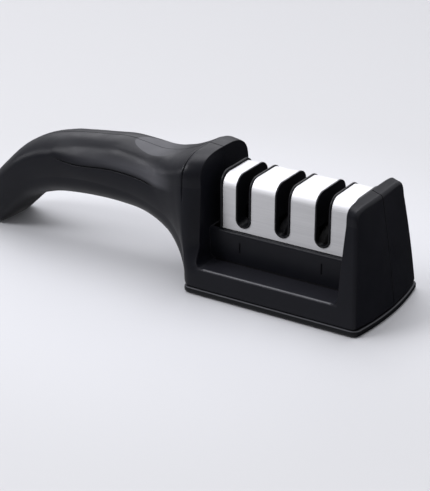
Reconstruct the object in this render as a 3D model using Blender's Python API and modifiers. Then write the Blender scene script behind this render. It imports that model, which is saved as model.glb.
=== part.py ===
"""Three-slot handheld knife sharpener, modelled piece by piece.

World frame, in metres: the origin is under the middle of the head, on the surface
that the sharpener stands on. X runs along the sharpener, from the handle's butt at -X
to the end block at +X. The front is -Y, the rear is +Y, and the two body shells meet
on the plane y = 0. Z is up.
"""
import math

import bmesh
import bpy
from mathutils import Matrix, Vector

MM = 0.001
FRONT = -1
REAR = 1

# Body shells
WALL = 2.4 * MM
SEAM_GAP = 0.1 * MM
SHELL_BOTTOM = 3.2 * MM
SHOULDER_HEIGHT = 45.5 * MM
SIDE_AT_BOTTOM = 28.7 * MM
SIDE_AT_SHOULDER = 22.1 * MM
SIDE_BULGE = 0.5 * MM
SIDE_STEPS = 5
ARC_STEPS = 5
RINGS_PER_SPAN = 2
BOTTOM_ROUND = 0.8 * MM
BOTTOM_SQUARE = 9.0

# Space between the upright and the end block
LEDGE_HEIGHT = 26.4 * MM
TRAY_FLOOR = 12.0 * MM
TRAY_CEILING = 10.2 * MM
TRAY_CORNER = 3.6 * MM
TRAY_OUTER = 34.0 * MM
PEDESTAL_SIDE = 14.3 * MM
WELL_SIDE = 12.6 * MM
WELL_X = (-37.0 * MM, 31.6 * MM)
BLOCK_FACE_X = 32.0 * MM
UPRIGHT_FACE_X = -36.9 * MM
UPRIGHT_DRAFT = 0.055
HEAD_START_X = -36.3 * MM
PINCH_START_X = -46.0 * MM
PINCH_END_X = -37.5 * MM
PINCH = {FRONT: 3.8 * MM, REAR: 2.6 * MM}
PINCH_FADE = 8.0 * MM
HOLLOW_X = (-39.6 * MM, 37.6 * MM)
HOLLOW_SIDE = 25.4 * MM
SNAP_X = (-22.3 * MM, 17.5 * MM)
SNAP_Z = (17.0 * MM, 22.0 * MM)
SNAP_WIDTH = 1.2 * MM
SNAP_REACH = (11.6 * MM, 16.0 * MM)

# End block
BLOCK_TOP_IN = 53.5 * MM
BLOCK_TOP_OUT = 52.4 * MM
BLOCK_EDGE = 1.6 * MM
BLOCK_SQUARE = 5.0
BLOCK_MIDDLE = 25.0 * MM
BLOCK_HOLLOW_X = (34.2 * MM, 38.0 * MM, 35.0 * MM)
BLOCK_HOLLOW_SIDE = (22.0 * MM, 18.5 * MM)
BLOCK_HOLLOW_TOP = 40.0 * MM
END_CORNER_X = 41.1 * MM
END_FOOT = 4.0 * MM
END_LEAN = 0.075
END_CURVE = 0.7
END_BOW = 3.9 * MM
END_BOW_LOSS = 0.055

# Base plate and pad
BASE_X = (-42.8 * MM, 42.6 * MM)
BASE_SIDE = 29.4 * MM
BASE_BOW = 2.5 * MM
BASE_CORNER = 3.8 * MM
BASE_LEVELS = ((0.2, 0.9), (0.7, 0.2), (1.4, 0.0), (2.2, 0.2), (2.9, 0.7))
PAD_INSET = 4.5 * MM
PAD_TOP = 1.3 * MM
PAD_POCKET_TOP = 1.5 * MM
PAD_GAP = 0.3 * MM
DECK_X = (-39.0 * MM, 37.0 * MM)
DECK_SIDE = 24.9 * MM
DECK_Z = (2.0 * MM, 4.4 * MM)
BASE_SEAT_TOP = 3.0 * MM

# Cassette
SLOT_X = (-21.7 * MM, -2.6 * MM, 16.5 * MM)
SLOT_CLEAR = 5.7 * MM
SLOT_RIM = 7.1 * MM
SLOT_IN_STEEL = 7.5 * MM
SLOT_FLOOR = 29.3 * MM
FRAME_X = (-36.6 * MM, 31.2 * MM)
FRAME_Z = (13.2 * MM, 50.3 * MM)
FRAME_SIDE = 11.85 * MM
FRAME_SHOULDER = 5.0 * MM
STEEL_X = (-31.9 * MM, 29.6 * MM)
STEEL_SIDE = 12.6 * MM
STEEL_TOP = 51.1 * MM
STEEL_BOTTOM = 26.8 * MM
STEEL_SHEET = 0.5 * MM
PROUD = 0.3 * MM
FLANGE_THICK = 1.1 * MM
FLANGE_SIDE = 13.1 * MM
FLANGE_TOP = 52.1 * MM
COVER_Z = (11.2 * MM, 12.9 * MM)
COVER_SIDE = 11.6 * MM
RIM_REACH = 6.0 * MM
BUMP_HALF = 0.35 * MM
FIT_GAP = 0.3 * MM

# Sharpening stages
AXLE_HEIGHT = 24.0 * MM
AXLE_RADIUS = 1.5 * MM
AXLE_HALF = 7.0 * MM
SLEEVE_RADIUS = 2.85 * MM
SLEEVE_HALF = 4.7 * MM
WHEEL_RADIUS = 9.6 * MM
WHEEL_NIP = 5.9 * MM
WHEEL_BEVEL = math.radians(18)
CHAMBER_HALF = 5.8 * MM
CHAMBER_SIDE = 10.4 * MM
CHAMBER_TOP = 36.5 * MM
CHAMBER_WALL = 1.6 * MM
BLADE_HALF = 7.0 * MM
BLADE_LEAN = math.radians(20)
BLADE_THICK = 1.6 * MM
BLADE_NIP = 30.0 * MM
BLADE_WIDE = 4.4 * MM
BLADE_DOWN = 5.0 * MM
BLADE_UP = 6.0 * MM
BLADE_Y = 1.05 * MM

# Screws: the shell screws as (x, z, how far their posts reach from the parting plane), and
# the base screws as (x, distance from the parting plane)
SHELL_SCREWS = ((-147.0 * MM, 23.0 * MM, 13.6 * MM), (-112.0 * MM, 36.0 * MM, 13.4 * MM),
                (-66.0 * MM, 36.0 * MM, 16.0 * MM), (36.0 * MM, 15.0 * MM, 20.0 * MM))
BASE_SCREWS = ((-33.0 * MM, 20.5 * MM), (27.5 * MM, 20.5 * MM))
COVER_SCREW_X = (-33.2 * MM, 27.9 * MM)
BOSS_RADIUS = 3.3 * MM
HEAD_RADIUS = 2.4 * MM
HEAD_HEIGHT = 1.5 * MM
SHANK_RADIUS = 1.2 * MM
PILOT_RADIUS = 1.4 * MM
COUNTERBORE_RADIUS = 2.8 * MM
HEAD_SEAT_Y = 5.0 * MM

# Rings of the handle and the upright, in millimetres. Each ring names the crown point
# (x, z), the upper side point (x, y, z), the lower side point (x, y, z), the keel point
# (x, z), and how square the crown and the keel are (2 is an ellipse).
HANDLE_RINGS = (
    ((-167.0, 0.0), (-165.2, 9.5, 0.0), (-159.5, 10.5, 0.0), (-157.5, 0.0), 2.2, 2.2),
    ((-168.8, 3.2), (-165.7, 12.8, 2.8), (-157.5, 13.4, 2.2), (-154.9, 1.7), 2.2, 2.2),
    ((-168.6, 12.3), (-162.8, 14.9, 11.9), (-154.5, 14.8, 9.2), (-149.3, 6.4), 2.2, 2.2),
    ((-163.3, 22.2), (-156.8, 15.3, 20.3), (-149.0, 14.9, 15.6), (-143.0, 12.2), 2.2, 2.2),
    ((-154.0, 32.4), (-148.8, 15.3, 27.8), (-142.5, 14.8, 22.2), (-136.7, 16.9), 2.2, 2.2),
    ((-143.7, 41.5), (-139.4, 15.2, 34.2), (-134.5, 14.6, 27.3), (-129.3, 19.7), 2.2, 2.2),
    ((-131.0, 47.3), (-128.0, 15.2, 38.8), (-125.0, 14.4, 30.7), (-121.2, 21.6), 2.2, 2.2),
    ((-114.0, 50.8), (-113.0, 15.2, 40.6), (-111.0, 14.2, 33.0), (-109.0, 22.8), 2.2, 2.2),
    ((-100.0, 52.5), (-99.0, 15.1, 41.1), (-98.0, 14.1, 33.5), (-97.0, 23.3), 2.3, 2.2),
    ((-90.0, 53.6), (-89.0, 15.0, 41.3), (-88.0, 14.2, 33.2), (-86.0, 23.1), 2.4, 2.2),
    ((-80.0, 53.0), (-79.0, 15.2, 41.4), (-77.2, 14.8, 32.3), (-75.6, 22.2), 2.5, 2.2),
    ((-70.0, 51.9), (-69.0, 16.2, 41.8), (-66.2, 16.7, 30.3), (-65.8, 19.9), 2.6, 2.3),
    ((-61.0, 52.9), (-60.0, 18.3, 42.6), (-55.4, 19.7, 27.2), (-56.6, 16.0), 2.7, 2.6),
    ((-54.0, 55.3), (-53.2, 20.4, 44.0), (-47.4, 23.3, 21.0), (-48.9, 10.5), 2.8, 3.2),
    ((-49.5, 57.4), (-49.0, 21.7, 45.0), (-43.4, 26.0, 13.3), (-43.8, 6.0), 2.9, 4.5),
    ((-46.4, 58.9), (-46.4, 22.1, 45.5), (-42.0, 27.4, 6.2), (-42.2, 3.2), 3.0, 7.0),
    ((-42.5, 58.7), (-42.5, 22.1, 45.5), (-39.5, 28.5, 4.4), (-40.0, 3.2), 3.0, 9.0),
    ((-34.8, 58.0), (-34.8, 22.1, 45.5), (-34.8, 28.75, 4.1), (-34.8, 3.2), 3.0, 9.0),
)
CAVITY_SPAN = (3, 14)


def clear_scene():
    for old in list(bpy.data.objects):
        bpy.data.objects.remove(old, do_unlink=True)


def new_collection(name):
    made = bpy.data.collections.new(name)
    bpy.context.scene.collection.children.link(made)
    return made


def new_material(name, color, roughness, metallic):
    made = bpy.data.materials.new(name)
    made.use_nodes = True
    shader = made.node_tree.nodes["Principled BSDF"]
    shader.inputs["Base Color"].default_value = (*color, 1.0)
    shader.inputs["Roughness"].default_value = roughness
    shader.inputs["Metallic"].default_value = metallic
    return made


clear_scene()
PARTS = new_collection("knife_sharpener")
CUTTERS = new_collection("cutters")
BODY_BLACK = new_material("body_black", (0.020, 0.021, 0.024), 0.42, 0.0)
BASE_BLACK = new_material("base_black", (0.016, 0.017, 0.019), 0.50, 0.0)
FRAME_BLACK = new_material("frame_black", (0.012, 0.012, 0.014), 0.35, 0.0)
RUBBER = new_material("pad_rubber", (0.020, 0.020, 0.022), 0.85, 0.0)
STEEL = new_material("brushed_steel", (0.66, 0.66, 0.68), 0.30, 1.0)
SCREW_STEEL = new_material("screw_steel", (0.42, 0.43, 0.45), 0.38, 1.0)
CARBIDE = new_material("tungsten_carbide", (0.22, 0.22, 0.23), 0.35, 1.0)
DIAMOND = new_material("diamond_grit", (0.20, 0.20, 0.21), 0.70, 0.3)
CERAMIC = new_material("grey_ceramic", (0.36, 0.35, 0.34), 0.60, 0.0)
SLEEVE = new_material("sleeve_nylon", (0.10, 0.10, 0.11), 0.50, 0.0)


def mesh_object(name, build, material=None):
    """Makes one object from what build(bm) adds to an empty bmesh."""
    bm = bmesh.new()
    build(bm)
    bmesh.ops.recalc_face_normals(bm, faces=bm.faces)
    mesh = bpy.data.meshes.new(name)
    bm.to_mesh(mesh)
    bm.free()
    made = bpy.data.objects.new(name, mesh)
    if material is None:
        CUTTERS.objects.link(made)
        made.hide_render = True
        made.display_type = "WIRE"
    else:
        PARTS.objects.link(made)
        mesh.materials.append(material)
    return made


def add_box(bm, low, high):
    size = Vector(high) - Vector(low)
    middle = (Vector(high) + Vector(low)) / 2
    place = Matrix.Translation(middle) @ Matrix.Diagonal((*size, 1.0))
    bmesh.ops.create_cube(bm, size=1.0, matrix=place)


def add_cylinder(bm, radius, start, end, sides=20):
    start = Vector(start)
    end = Vector(end)
    turn = (end - start).to_track_quat("Z", "Y").to_matrix().to_4x4()
    place = Matrix.Translation((start + end) / 2) @ turn
    bmesh.ops.create_cone(bm, cap_ends=True, segments=sides, radius1=radius, radius2=radius,
                          depth=(end - start).length, matrix=place)


def add_prism(bm, outline, axis, start, end):
    """Extrudes a closed outline of two-coordinate points along one axis."""
    def lift(point, distance):
        coords = list(point)
        coords.insert(axis, distance)
        return Vector(coords)

    first = [bm.verts.new(lift(p, start)) for p in outline]
    last = [bm.verts.new(lift(p, end)) for p in outline]
    bm.faces.new(first)
    bm.faces.new(list(reversed(last)))
    for i in range(len(outline)):
        j = (i + 1) % len(outline)
        bm.faces.new((first[j], first[i], last[i], last[j]))


def add_loft(bm, rings, close_rings=True):
    """Skins a list of rings with the same number of points, and closes both ends."""
    loops = [[bm.verts.new(p) for p in ring] for ring in rings]
    count = len(rings[0])
    last = count if close_rings else count - 1
    for a, b in zip(loops, loops[1:]):
        for i in range(last):
            j = (i + 1) % count
            bm.faces.new((a[i], a[j], b[j], b[i]))
    bm.faces.new(loops[0])
    bm.faces.new(list(reversed(loops[-1])))


def boolean(target, cutter, operation="DIFFERENCE"):
    step = target.modifiers.new(cutter.name, "BOOLEAN")
    step.object = cutter
    step.operation = operation
    step.solver = "EXACT"
    return step


def shade_round(obj, angle=35):
    for face in obj.data.polygons:
        face.use_smooth = True
    obj.data.set_sharp_from_angle(angle=math.radians(angle))


# ---------------------------------------------------------------- body shells

def spline(points, at):
    """Reads a Catmull-Rom curve through the points at a whole-and-part index."""
    i = min(int(at), len(points) - 2)
    t = at - i
    p1 = points[i]
    p2 = points[i + 1]
    p0 = points[i - 1] if i > 0 else p1 * 2 - p2
    p3 = points[i + 2] if i + 2 < len(points) else p2 * 2 - p1
    return 0.5 * ((2 * p1) + (p2 - p0) * t + (2 * p0 - 5 * p1 + 4 * p2 - p3) * t * t
                  + (3 * p1 - p0 - 3 * p2 + p3) * t * t * t)


def half_ring(crown, upper, lower, keel, crown_square, keel_square):
    """One half of a section, from its crown down its side to its keel."""
    ring = []
    for k in range(ARC_STEPS + 1):
        a = math.pi / 2 * (1 - k / ARC_STEPS)
        out = math.cos(a) ** (2 / crown_square) if k else 0.0
        rise = math.sin(a) ** (2 / crown_square) if k < ARC_STEPS else 0.0
        point = upper.lerp(crown, rise)
        ring.append(Vector((point.x, upper.y * out, point.z)))
    for k in range(1, SIDE_STEPS):
        part = k / SIDE_STEPS
        point = upper.lerp(lower, part)
        ring.append(point + Vector((0, SIDE_BULGE * 4 * part * (1 - part), 0)))
    for k in range(ARC_STEPS + 1):
        a = math.pi / 2 * k / ARC_STEPS
        out = math.cos(a) ** (2 / keel_square) if k < ARC_STEPS else 0.0
        drop = math.sin(a) ** (2 / keel_square) if k else 0.0
        point = lower.lerp(keel, drop)
        ring.append(Vector((point.x, lower.y * out, point.z)))
    return ring


def pinched(p, side):
    """The upright narrows towards its inner face, except down at the tray."""
    along = (p.x - PINCH_START_X) / (PINCH_END_X - PINCH_START_X)
    along = min(max(along, 0.0), 1.0)
    above = min(max((p.z - TRAY_FLOOR) / PINCH_FADE, 0.0), 1.0)
    middle = min(p.y / SIDE_AT_SHOULDER, 1.0)
    return Vector((p.x, p.y - PINCH[side] * along ** 2 * above * middle, p.z))


def handle_half_rings(side):
    """Half rings of one side from the butt to the upright, with positive y."""
    crowns = [Vector((r[0][0], 0, r[0][1])) * MM for r in HANDLE_RINGS]
    uppers = [Vector(r[1]) * MM for r in HANDLE_RINGS]
    lowers = [Vector(r[2]) * MM for r in HANDLE_RINGS]
    keels = [Vector((r[3][0], 0, r[3][1])) * MM for r in HANDLE_RINGS]
    squares = [Vector((r[4], r[5], 0)) for r in HANDLE_RINGS]
    rings = []
    for step in range((len(HANDLE_RINGS) - 1) * RINGS_PER_SPAN + 1):
        at = step / RINGS_PER_SPAN
        square = spline(squares, at)
        ring = half_ring(spline(crowns, at), spline(uppers, at), spline(lowers, at),
                         spline(keels, at), square.x, square.y)
        rings.append([pinched(p, side) for p in ring])
    return rings


def end_face_x(y, z):
    """The bowed outer face of the end block leans in towards its top."""
    rise = z - END_FOOT
    corner = END_CORNER_X - END_LEAN * rise - END_CURVE * rise * rise
    bow = END_BOW - END_BOW_LOSS * z
    side = SIDE_AT_BOTTOM + (SIDE_AT_SHOULDER - SIDE_AT_BOTTOM) * z / SHOULDER_HEIGHT
    return corner + bow * (1 - (y / side) ** 2)


def block_half_ring(x, top):
    crown = Vector((x, 0, top))
    upper = Vector((x, SIDE_AT_SHOULDER, SHOULDER_HEIGHT))
    lower = Vector((x, SIDE_AT_BOTTOM, SHELL_BOTTOM + BOTTOM_ROUND))
    keel = Vector((x, 0, SHELL_BOTTOM))
    return half_ring(crown, upper, lower, keel, BLOCK_SQUARE, BOTTOM_SQUARE)


def block_half_rings():
    """Half rings along the head and round the edges of the end face."""
    rings = [block_half_ring(HEAD_START_X, BLOCK_TOP_IN),
             block_half_ring(BLOCK_FACE_X, BLOCK_TOP_IN)]
    rim = block_half_ring(BLOCK_FACE_X, BLOCK_TOP_OUT)
    centre = Vector((0, 0, BLOCK_MIDDLE))
    for turn in (0, 30, 60, 90):
        a = math.radians(turn)
        inset = BLOCK_EDGE * (1 - math.cos(a))
        back = BLOCK_EDGE * (1 - math.sin(a))
        ring = []
        for p in rim:
            flat = Vector((0, p.y, p.z)) - centre
            moved = centre + flat * (1 - inset / max(flat.length, BLOCK_EDGE))
            moved.z = max(moved.z, SHELL_BOTTOM)
            ring.append(Vector((end_face_x(moved.y, moved.z) - back, moved.y, moved.z)))
        rings.append(ring)
    edge = rings[-1]
    for shrink in (0.6, 0.2):
        ring = []
        for p in edge:
            moved = centre + (Vector((0, p.y, p.z)) - centre) * shrink
            ring.append(Vector((end_face_x(moved.y, moved.z), moved.y, moved.z)))
        rings.append(ring)
    return rings


def add_half_skin(bm, rings, side):
    """Closes half rings on the parting plane and skins them, for one side of the body."""
    placed = []
    for ring in rings:
        placed.append([Vector((p.x, side * max(p.y, SEAM_GAP), p.z)) for p in ring])
    add_loft(bm, placed)


def shrink_ring(ring, wall):
    """Moves a half ring towards its own middle, which leaves a wall outside it."""
    middle = (ring[0] + ring[-1]) / 2
    moved = []
    for p in ring:
        spoke = p - middle
        moved.append(middle + spoke * (1 - wall / spoke.length))
    return moved


def upright_face_x(z):
    """The upright's inner face leans back as it rises."""
    return UPRIGHT_FACE_X - UPRIGHT_DRAFT * (z - TRAY_FLOOR)


def gap_outline(floor, corner):
    """Front view of the space between the upright and the end block, over one floor."""
    top = 70 * MM
    left = upright_face_x(floor + corner)
    outline = [(upright_face_x(top), top), (upright_face_x(LEDGE_HEIGHT), LEDGE_HEIGHT)]
    for middle, start in ((left + corner, 180), (BLOCK_FACE_X - corner, 270)):
        for k in range(5):
            a = math.radians(start + 22.5 * k)
            outline.append((middle + corner * math.cos(a), floor + corner * (1 + math.sin(a))))
    return [*outline, (BLOCK_FACE_X, LEDGE_HEIGHT), (BLOCK_FACE_X, top)]


def body_cutters(side, word):
    """The openings of one shell: window and tray, well, hollows and snap windows."""
    def window(bm):
        over_ledge = gap_outline(LEDGE_HEIGHT, 0.0)
        over_tray = gap_outline(TRAY_FLOOR, TRAY_CORNER)
        levels = ((-1 * MM, over_ledge), (PEDESTAL_SIDE, over_ledge),
                  (PEDESTAL_SIDE, over_tray), (TRAY_OUTER, over_tray))
        add_loft(bm, [[Vector((x, side * y, z)) for x, z in outline] for y, outline in levels])
        bmesh.ops.remove_doubles(bm, verts=bm.verts, dist=0.001 * MM)

    def well(bm):
        add_box(bm, (WELL_X[0], -WELL_SIDE, -1 * MM), (WELL_X[1], WELL_SIDE, LEDGE_HEIGHT + 1 * MM))

    def tray_hollow(bm):
        add_box(bm, (HOLLOW_X[0], -HOLLOW_SIDE, 0), (HOLLOW_X[1], HOLLOW_SIDE, TRAY_CEILING))

    def block_hollow(bm):
        near, far_low, far_high = BLOCK_HOLLOW_X
        rings = []
        for far, y, z in ((far_low, BLOCK_HOLLOW_SIDE[0], TRAY_CEILING - 1 * MM),
                          (far_high, BLOCK_HOLLOW_SIDE[1], BLOCK_HOLLOW_TOP)):
            rings.append([Vector((near, -y, z)), Vector((far, -y, z)),
                          Vector((far, y, z)), Vector((near, y, z))])
        add_loft(bm, rings)

    def handle_hollow(bm):
        first, last = (k * RINGS_PER_SPAN for k in CAVITY_SPAN)
        rings = [shrink_ring(ring, WALL) for ring in handle_half_rings(side)[first:last + 1]]
        placed = []
        for ring in rings:
            half = [Vector((p.x, side * p.y, p.z)) for p in ring[1:-1]]
            over = -side * 1 * MM
            placed.append([Vector((ring[0].x, over, ring[0].z)), *half,
                           Vector((ring[-1].x, over, ring[-1].z))])
        add_loft(bm, placed)

    def snap_windows(bm):
        for x in SNAP_X:
            ends = sorted(side * reach for reach in SNAP_REACH)
            add_box(bm, (x - SNAP_WIDTH / 2, ends[0], SNAP_Z[0]),
                    (x + SNAP_WIDTH / 2, ends[1], SNAP_Z[1]))

    steps = (window, well, tray_hollow, block_hollow, handle_hollow, snap_windows)
    return [mesh_object(f"cut_{word}_{step.__name__}", step) for step in steps]


def shell_bosses(side, word):
    """Screw posts across the hollows, and the holes through them."""
    def posts(bm):
        for x, z, reach in SHELL_SCREWS:
            add_cylinder(bm, BOSS_RADIUS, (x, side * reach, z), (x, side * 0.4 * MM, z))
        for x, y in BASE_SCREWS:
            add_cylinder(bm, BOSS_RADIUS, (x, side * y, DECK_Z[1] + FIT_GAP),
                         (x, side * y, TRAY_CEILING + 0.8 * MM))

    def pilots(bm):
        for x, z, _ in SHELL_SCREWS:
            if side == FRONT:
                add_cylinder(bm, PILOT_RADIUS, (x, 1 * MM, z), (x, -9.5 * MM, z), 12)
            else:
                add_cylinder(bm, PILOT_RADIUS, (x, -1 * MM, z), (x, 8 * MM, z), 12)
        for x, y in BASE_SCREWS:
            add_cylinder(bm, PILOT_RADIUS, (x, side * y, 0), (x, side * y, 9.5 * MM), 12)

    def counterbores(bm):
        for x, z, _ in SHELL_SCREWS:
            add_cylinder(bm, COUNTERBORE_RADIUS, (x, HEAD_SEAT_Y, z), (x, 40 * MM, z), 16)

    made = [(mesh_object(f"add_{word}_posts", posts), "UNION"),
            (mesh_object(f"cut_{word}_pilots", pilots), "DIFFERENCE")]
    if side == REAR:
        made.append((mesh_object(f"cut_{word}_counterbores", counterbores), "DIFFERENCE"))
    return made


def body_shell(side, word):
    """One half of the body: the handle, the upright, the tray and the end block."""
    def handle(bm):
        add_half_skin(bm, handle_half_rings(side), side)

    def head(bm):
        add_half_skin(bm, block_half_rings(), side)

    shell = mesh_object(f"body_{word}_shell", handle, BODY_BLACK)
    boolean(shell, mesh_object(f"add_{word}_head", head), "UNION")
    for cutter in body_cutters(side, word):
        boolean(shell, cutter)
    for cutter, operation in shell_bosses(side, word):
        boolean(shell, cutter, operation)
    return shell


# ---------------------------------------------------------------- base

def base_outline(inset):
    """Plan of the base: round corners, and a right end that bows outwards."""
    corner = max(BASE_CORNER - inset, 0.6 * MM)
    side = BASE_SIDE - inset
    left = BASE_X[0] + inset
    right = BASE_X[1] - inset
    outline = []
    for sign_x, sign_y, start in ((-1, -1, 180), (1, -1, 270), (1, 1, 0), (-1, 1, 90)):
        x = left + corner if sign_x < 0 else right - corner
        y = sign_y * (side - corner)
        for k in range(5):
            a = math.radians(start + 22.5 * k)
            outline.append((x + corner * math.cos(a), y + corner * math.sin(a)))
        if sign_x > 0 and sign_y < 0:
            for part in (-0.6, -0.2, 0.2, 0.6):
                outline.append((right + BASE_BOW * (1 - part * part), part * (side - corner)))
    return outline


def base_plate():
    """The foot: a plate with a round edge and a raised deck that sits inside the shells."""
    def plate(bm):
        rings = [[Vector((x, y, z * MM)) for x, y in base_outline(inset * MM)]
                 for z, inset in BASE_LEVELS]
        add_loft(bm, rings)

    def deck(bm):
        add_box(bm, (DECK_X[0], -DECK_SIDE, DECK_Z[0]), (DECK_X[1], DECK_SIDE, DECK_Z[1]))

    def pocket(bm):
        add_prism(bm, base_outline(PAD_INSET - PAD_GAP), 2, -1 * MM, PAD_POCKET_TOP)

    def screw_holes(bm):
        for x, y in BASE_SCREWS:
            for side in (FRONT, REAR):
                add_cylinder(bm, PILOT_RADIUS, (x, side * y, 0), (x, side * y, 6 * MM), 12)

    def head_seats(bm):
        for x, y in BASE_SCREWS:
            for side in (FRONT, REAR):
                add_cylinder(bm, COUNTERBORE_RADIUS, (x, side * y, 0),
                             (x, side * y, BASE_SEAT_TOP), 16)

    made = mesh_object("base_plate", plate, BASE_BLACK)
    boolean(made, mesh_object("add_base_deck", deck), "UNION")
    for step in (pocket, screw_holes, head_seats):
        boolean(made, mesh_object(f"cut_base_{step.__name__}", step))
    return made


def non_slip_pad():
    def pad(bm):
        add_prism(bm, base_outline(PAD_INSET), 2, 0, PAD_TOP)

    return mesh_object("non_slip_pad", pad, RUBBER)


# ---------------------------------------------------------------- cassette

def arch_outline(side, bottom, top, shoulder):
    """End view of the cassette: upright sides, a flat crown and rounded shoulders."""
    outline = [(-side, bottom)]
    for k in range(5):
        a = math.pi - math.pi / 2 * k / 4
        outline.append((-side + shoulder * (1 + math.cos(a)), top - shoulder * (1 - math.sin(a))))
    for k in range(5):
        a = math.pi / 2 - math.pi / 2 * k / 4
        outline.append((side - shoulder * (1 - math.cos(a)), top - shoulder * (1 - math.sin(a))))
    outline.append((side, bottom))
    return outline


def slot_outline(x, width, floor, top):
    """Front view of a slot: open at the top, with a round floor."""
    radius = width / 2
    outline = [(x + radius, top), (x - radius, top)]
    for k in range(7):
        a = math.pi + math.pi * k / 6
        outline.append((x + radius * math.cos(a), floor + radius * (1 + math.sin(a))))
    return outline


def add_slots(bm, width, floor):
    for x in SLOT_X:
        add_prism(bm, slot_outline(x, width, floor, 60 * MM), 1, -20 * MM, 20 * MM)


def cassette_frame():
    """The black carrier: core, end flanges, slot rims, chambers and snap bumps."""
    flange = arch_outline(FLANGE_SIDE, STEEL_BOTTOM, FLANGE_TOP, FRAME_SHOULDER + 1.2 * MM)

    def core(bm):
        add_prism(bm, arch_outline(FRAME_SIDE, FRAME_Z[0], FRAME_Z[1], FRAME_SHOULDER),
                  0, *FRAME_X)

    def left_flange(bm):
        face = STEEL_X[0] - 0.2 * MM
        add_prism(bm, flange, 0, face - FLANGE_THICK, face)

    def right_flange(bm):
        add_prism(bm, flange, 0, STEEL_X[1] + 0.2 * MM, FRAME_X[1])

    def snap_bumps(bm):
        for x in SNAP_X:
            add_box(bm, (x - BUMP_HALF, -FRAME_SIDE - PROUD, SNAP_Z[0] + FIT_GAP),
                    (x + BUMP_HALF, FRAME_SIDE + PROUD, SNAP_Z[1] - FIT_GAP))

    def slots(bm):
        add_slots(bm, SLOT_CLEAR, SLOT_FLOOR)

    def chambers(bm):
        for x, half, deep in zip(SLOT_X, (BLADE_HALF, CHAMBER_HALF, CHAMBER_HALF),
                                 (6.0 * MM, CHAMBER_SIDE, CHAMBER_SIDE)):
            add_box(bm, (x - half, -deep, 10 * MM), (x + half, deep, CHAMBER_TOP))

    def pockets(bm):
        edges = ((SLOT_X[0] + BLADE_HALF, SLOT_X[1] - CHAMBER_HALF),
                 (SLOT_X[1] + CHAMBER_HALF, SLOT_X[2] - CHAMBER_HALF))
        for left, right in edges:
            add_box(bm, (left + CHAMBER_WALL, -10.2 * MM, 10 * MM),
                    (right - CHAMBER_WALL, 10.2 * MM, 47.5 * MM))

    def axle_seats(bm):
        for x in SLOT_X[1:]:
            reach = AXLE_HALF + 0.3 * MM
            outline = slot_outline(0.0, 2 * AXLE_RADIUS + 0.4 * MM, 0.0, 20 * MM)
            upturned = [(y, AXLE_HEIGHT + AXLE_RADIUS + 0.2 * MM - z) for y, z in outline]
            add_prism(bm, upturned, 0, x - reach, x + reach)

    def screw_pilots(bm):
        for x in COVER_SCREW_X:
            add_cylinder(bm, PILOT_RADIUS, (x, 0, 10 * MM), (x, 0, 20 * MM), 12)

    made = mesh_object("cassette_frame", core, FRAME_BLACK)
    for step in (left_flange, right_flange, snap_bumps):
        boolean(made, mesh_object(f"add_frame_{step.__name__}", step), "UNION")
    for rim in slot_rims():
        boolean(made, rim, "UNION")
    for step in (slots, chambers, pockets, axle_seats, screw_pilots):
        boolean(made, mesh_object(f"cut_frame_{step.__name__}", step))
    return made


def slot_rims():
    """Collars round the slots, which come up through the steel and stand just proud."""
    made = []
    for number, x in enumerate(SLOT_X, 1):
        def arch(bm):
            add_prism(bm, arch_outline(STEEL_SIDE + PROUD, STEEL_BOTTOM, STEEL_TOP + PROUD,
                                       FRAME_SHOULDER + 0.8 * MM),
                      0, x - RIM_REACH, x + RIM_REACH)

        def sides(bm):
            floor = SLOT_FLOOR - (SLOT_RIM - SLOT_CLEAR) / 2
            add_prism(bm, slot_outline(x, SLOT_RIM, floor, 60 * MM), 1, -20 * MM, 20 * MM)

        rim = mesh_object(f"add_frame_rim_{number}", arch)
        boolean(rim, mesh_object(f"cut_rim_{number}", sides), "INTERSECT")
        made.append(rim)
    return made


def steel_cover():
    """A bent sheet over the cassette, open along the three slots."""
    outer = arch_outline(STEEL_SIDE, STEEL_BOTTOM, STEEL_TOP, FRAME_SHOULDER + 0.6 * MM)
    inner = arch_outline(STEEL_SIDE - STEEL_SHEET, STEEL_BOTTOM, STEEL_TOP - STEEL_SHEET,
                         FRAME_SHOULDER + 0.1 * MM)

    def sheet(bm):
        add_prism(bm, outer + list(reversed(inner)), 0, *STEEL_X)

    def slots(bm):
        floor = SLOT_FLOOR - (SLOT_IN_STEEL - SLOT_CLEAR) / 2
        add_slots(bm, SLOT_IN_STEEL, floor)

    made = mesh_object("steel_cover", sheet, STEEL)
    boolean(made, mesh_object("cut_steel_slots", slots))
    shade_round(made)
    return made


def cassette_cover():
    """Bottom plate of the cassette, with posts that hold the two axles up."""
    def plate(bm):
        add_box(bm, (FRAME_X[0] + FIT_GAP, -COVER_SIDE, COVER_Z[0]),
                (FRAME_X[1] - FIT_GAP, COVER_SIDE, COVER_Z[1]))

    def posts(bm):
        for x in SLOT_X[1:]:
            for sign in (-1, 1):
                middle = x + sign * (CHAMBER_HALF + CHAMBER_WALL / 2)
                add_box(bm, (middle - 0.6 * MM, -1.4 * MM, COVER_Z[0] + 0.5 * MM),
                        (middle + 0.6 * MM, 1.4 * MM, AXLE_HEIGHT - AXLE_RADIUS - FIT_GAP))

    def holes(bm):
        for x in COVER_SCREW_X:
            add_cylinder(bm, PILOT_RADIUS, (x, 0, 10 * MM), (x, 0, 14 * MM), 12)

    made = mesh_object("cassette_bottom_cover", plate, FRAME_BLACK)
    boolean(made, mesh_object("add_cover_posts", posts), "UNION")
    boolean(made, mesh_object("cut_cover_holes", holes))
    return made


# ---------------------------------------------------------------- sharpening stages

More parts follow.
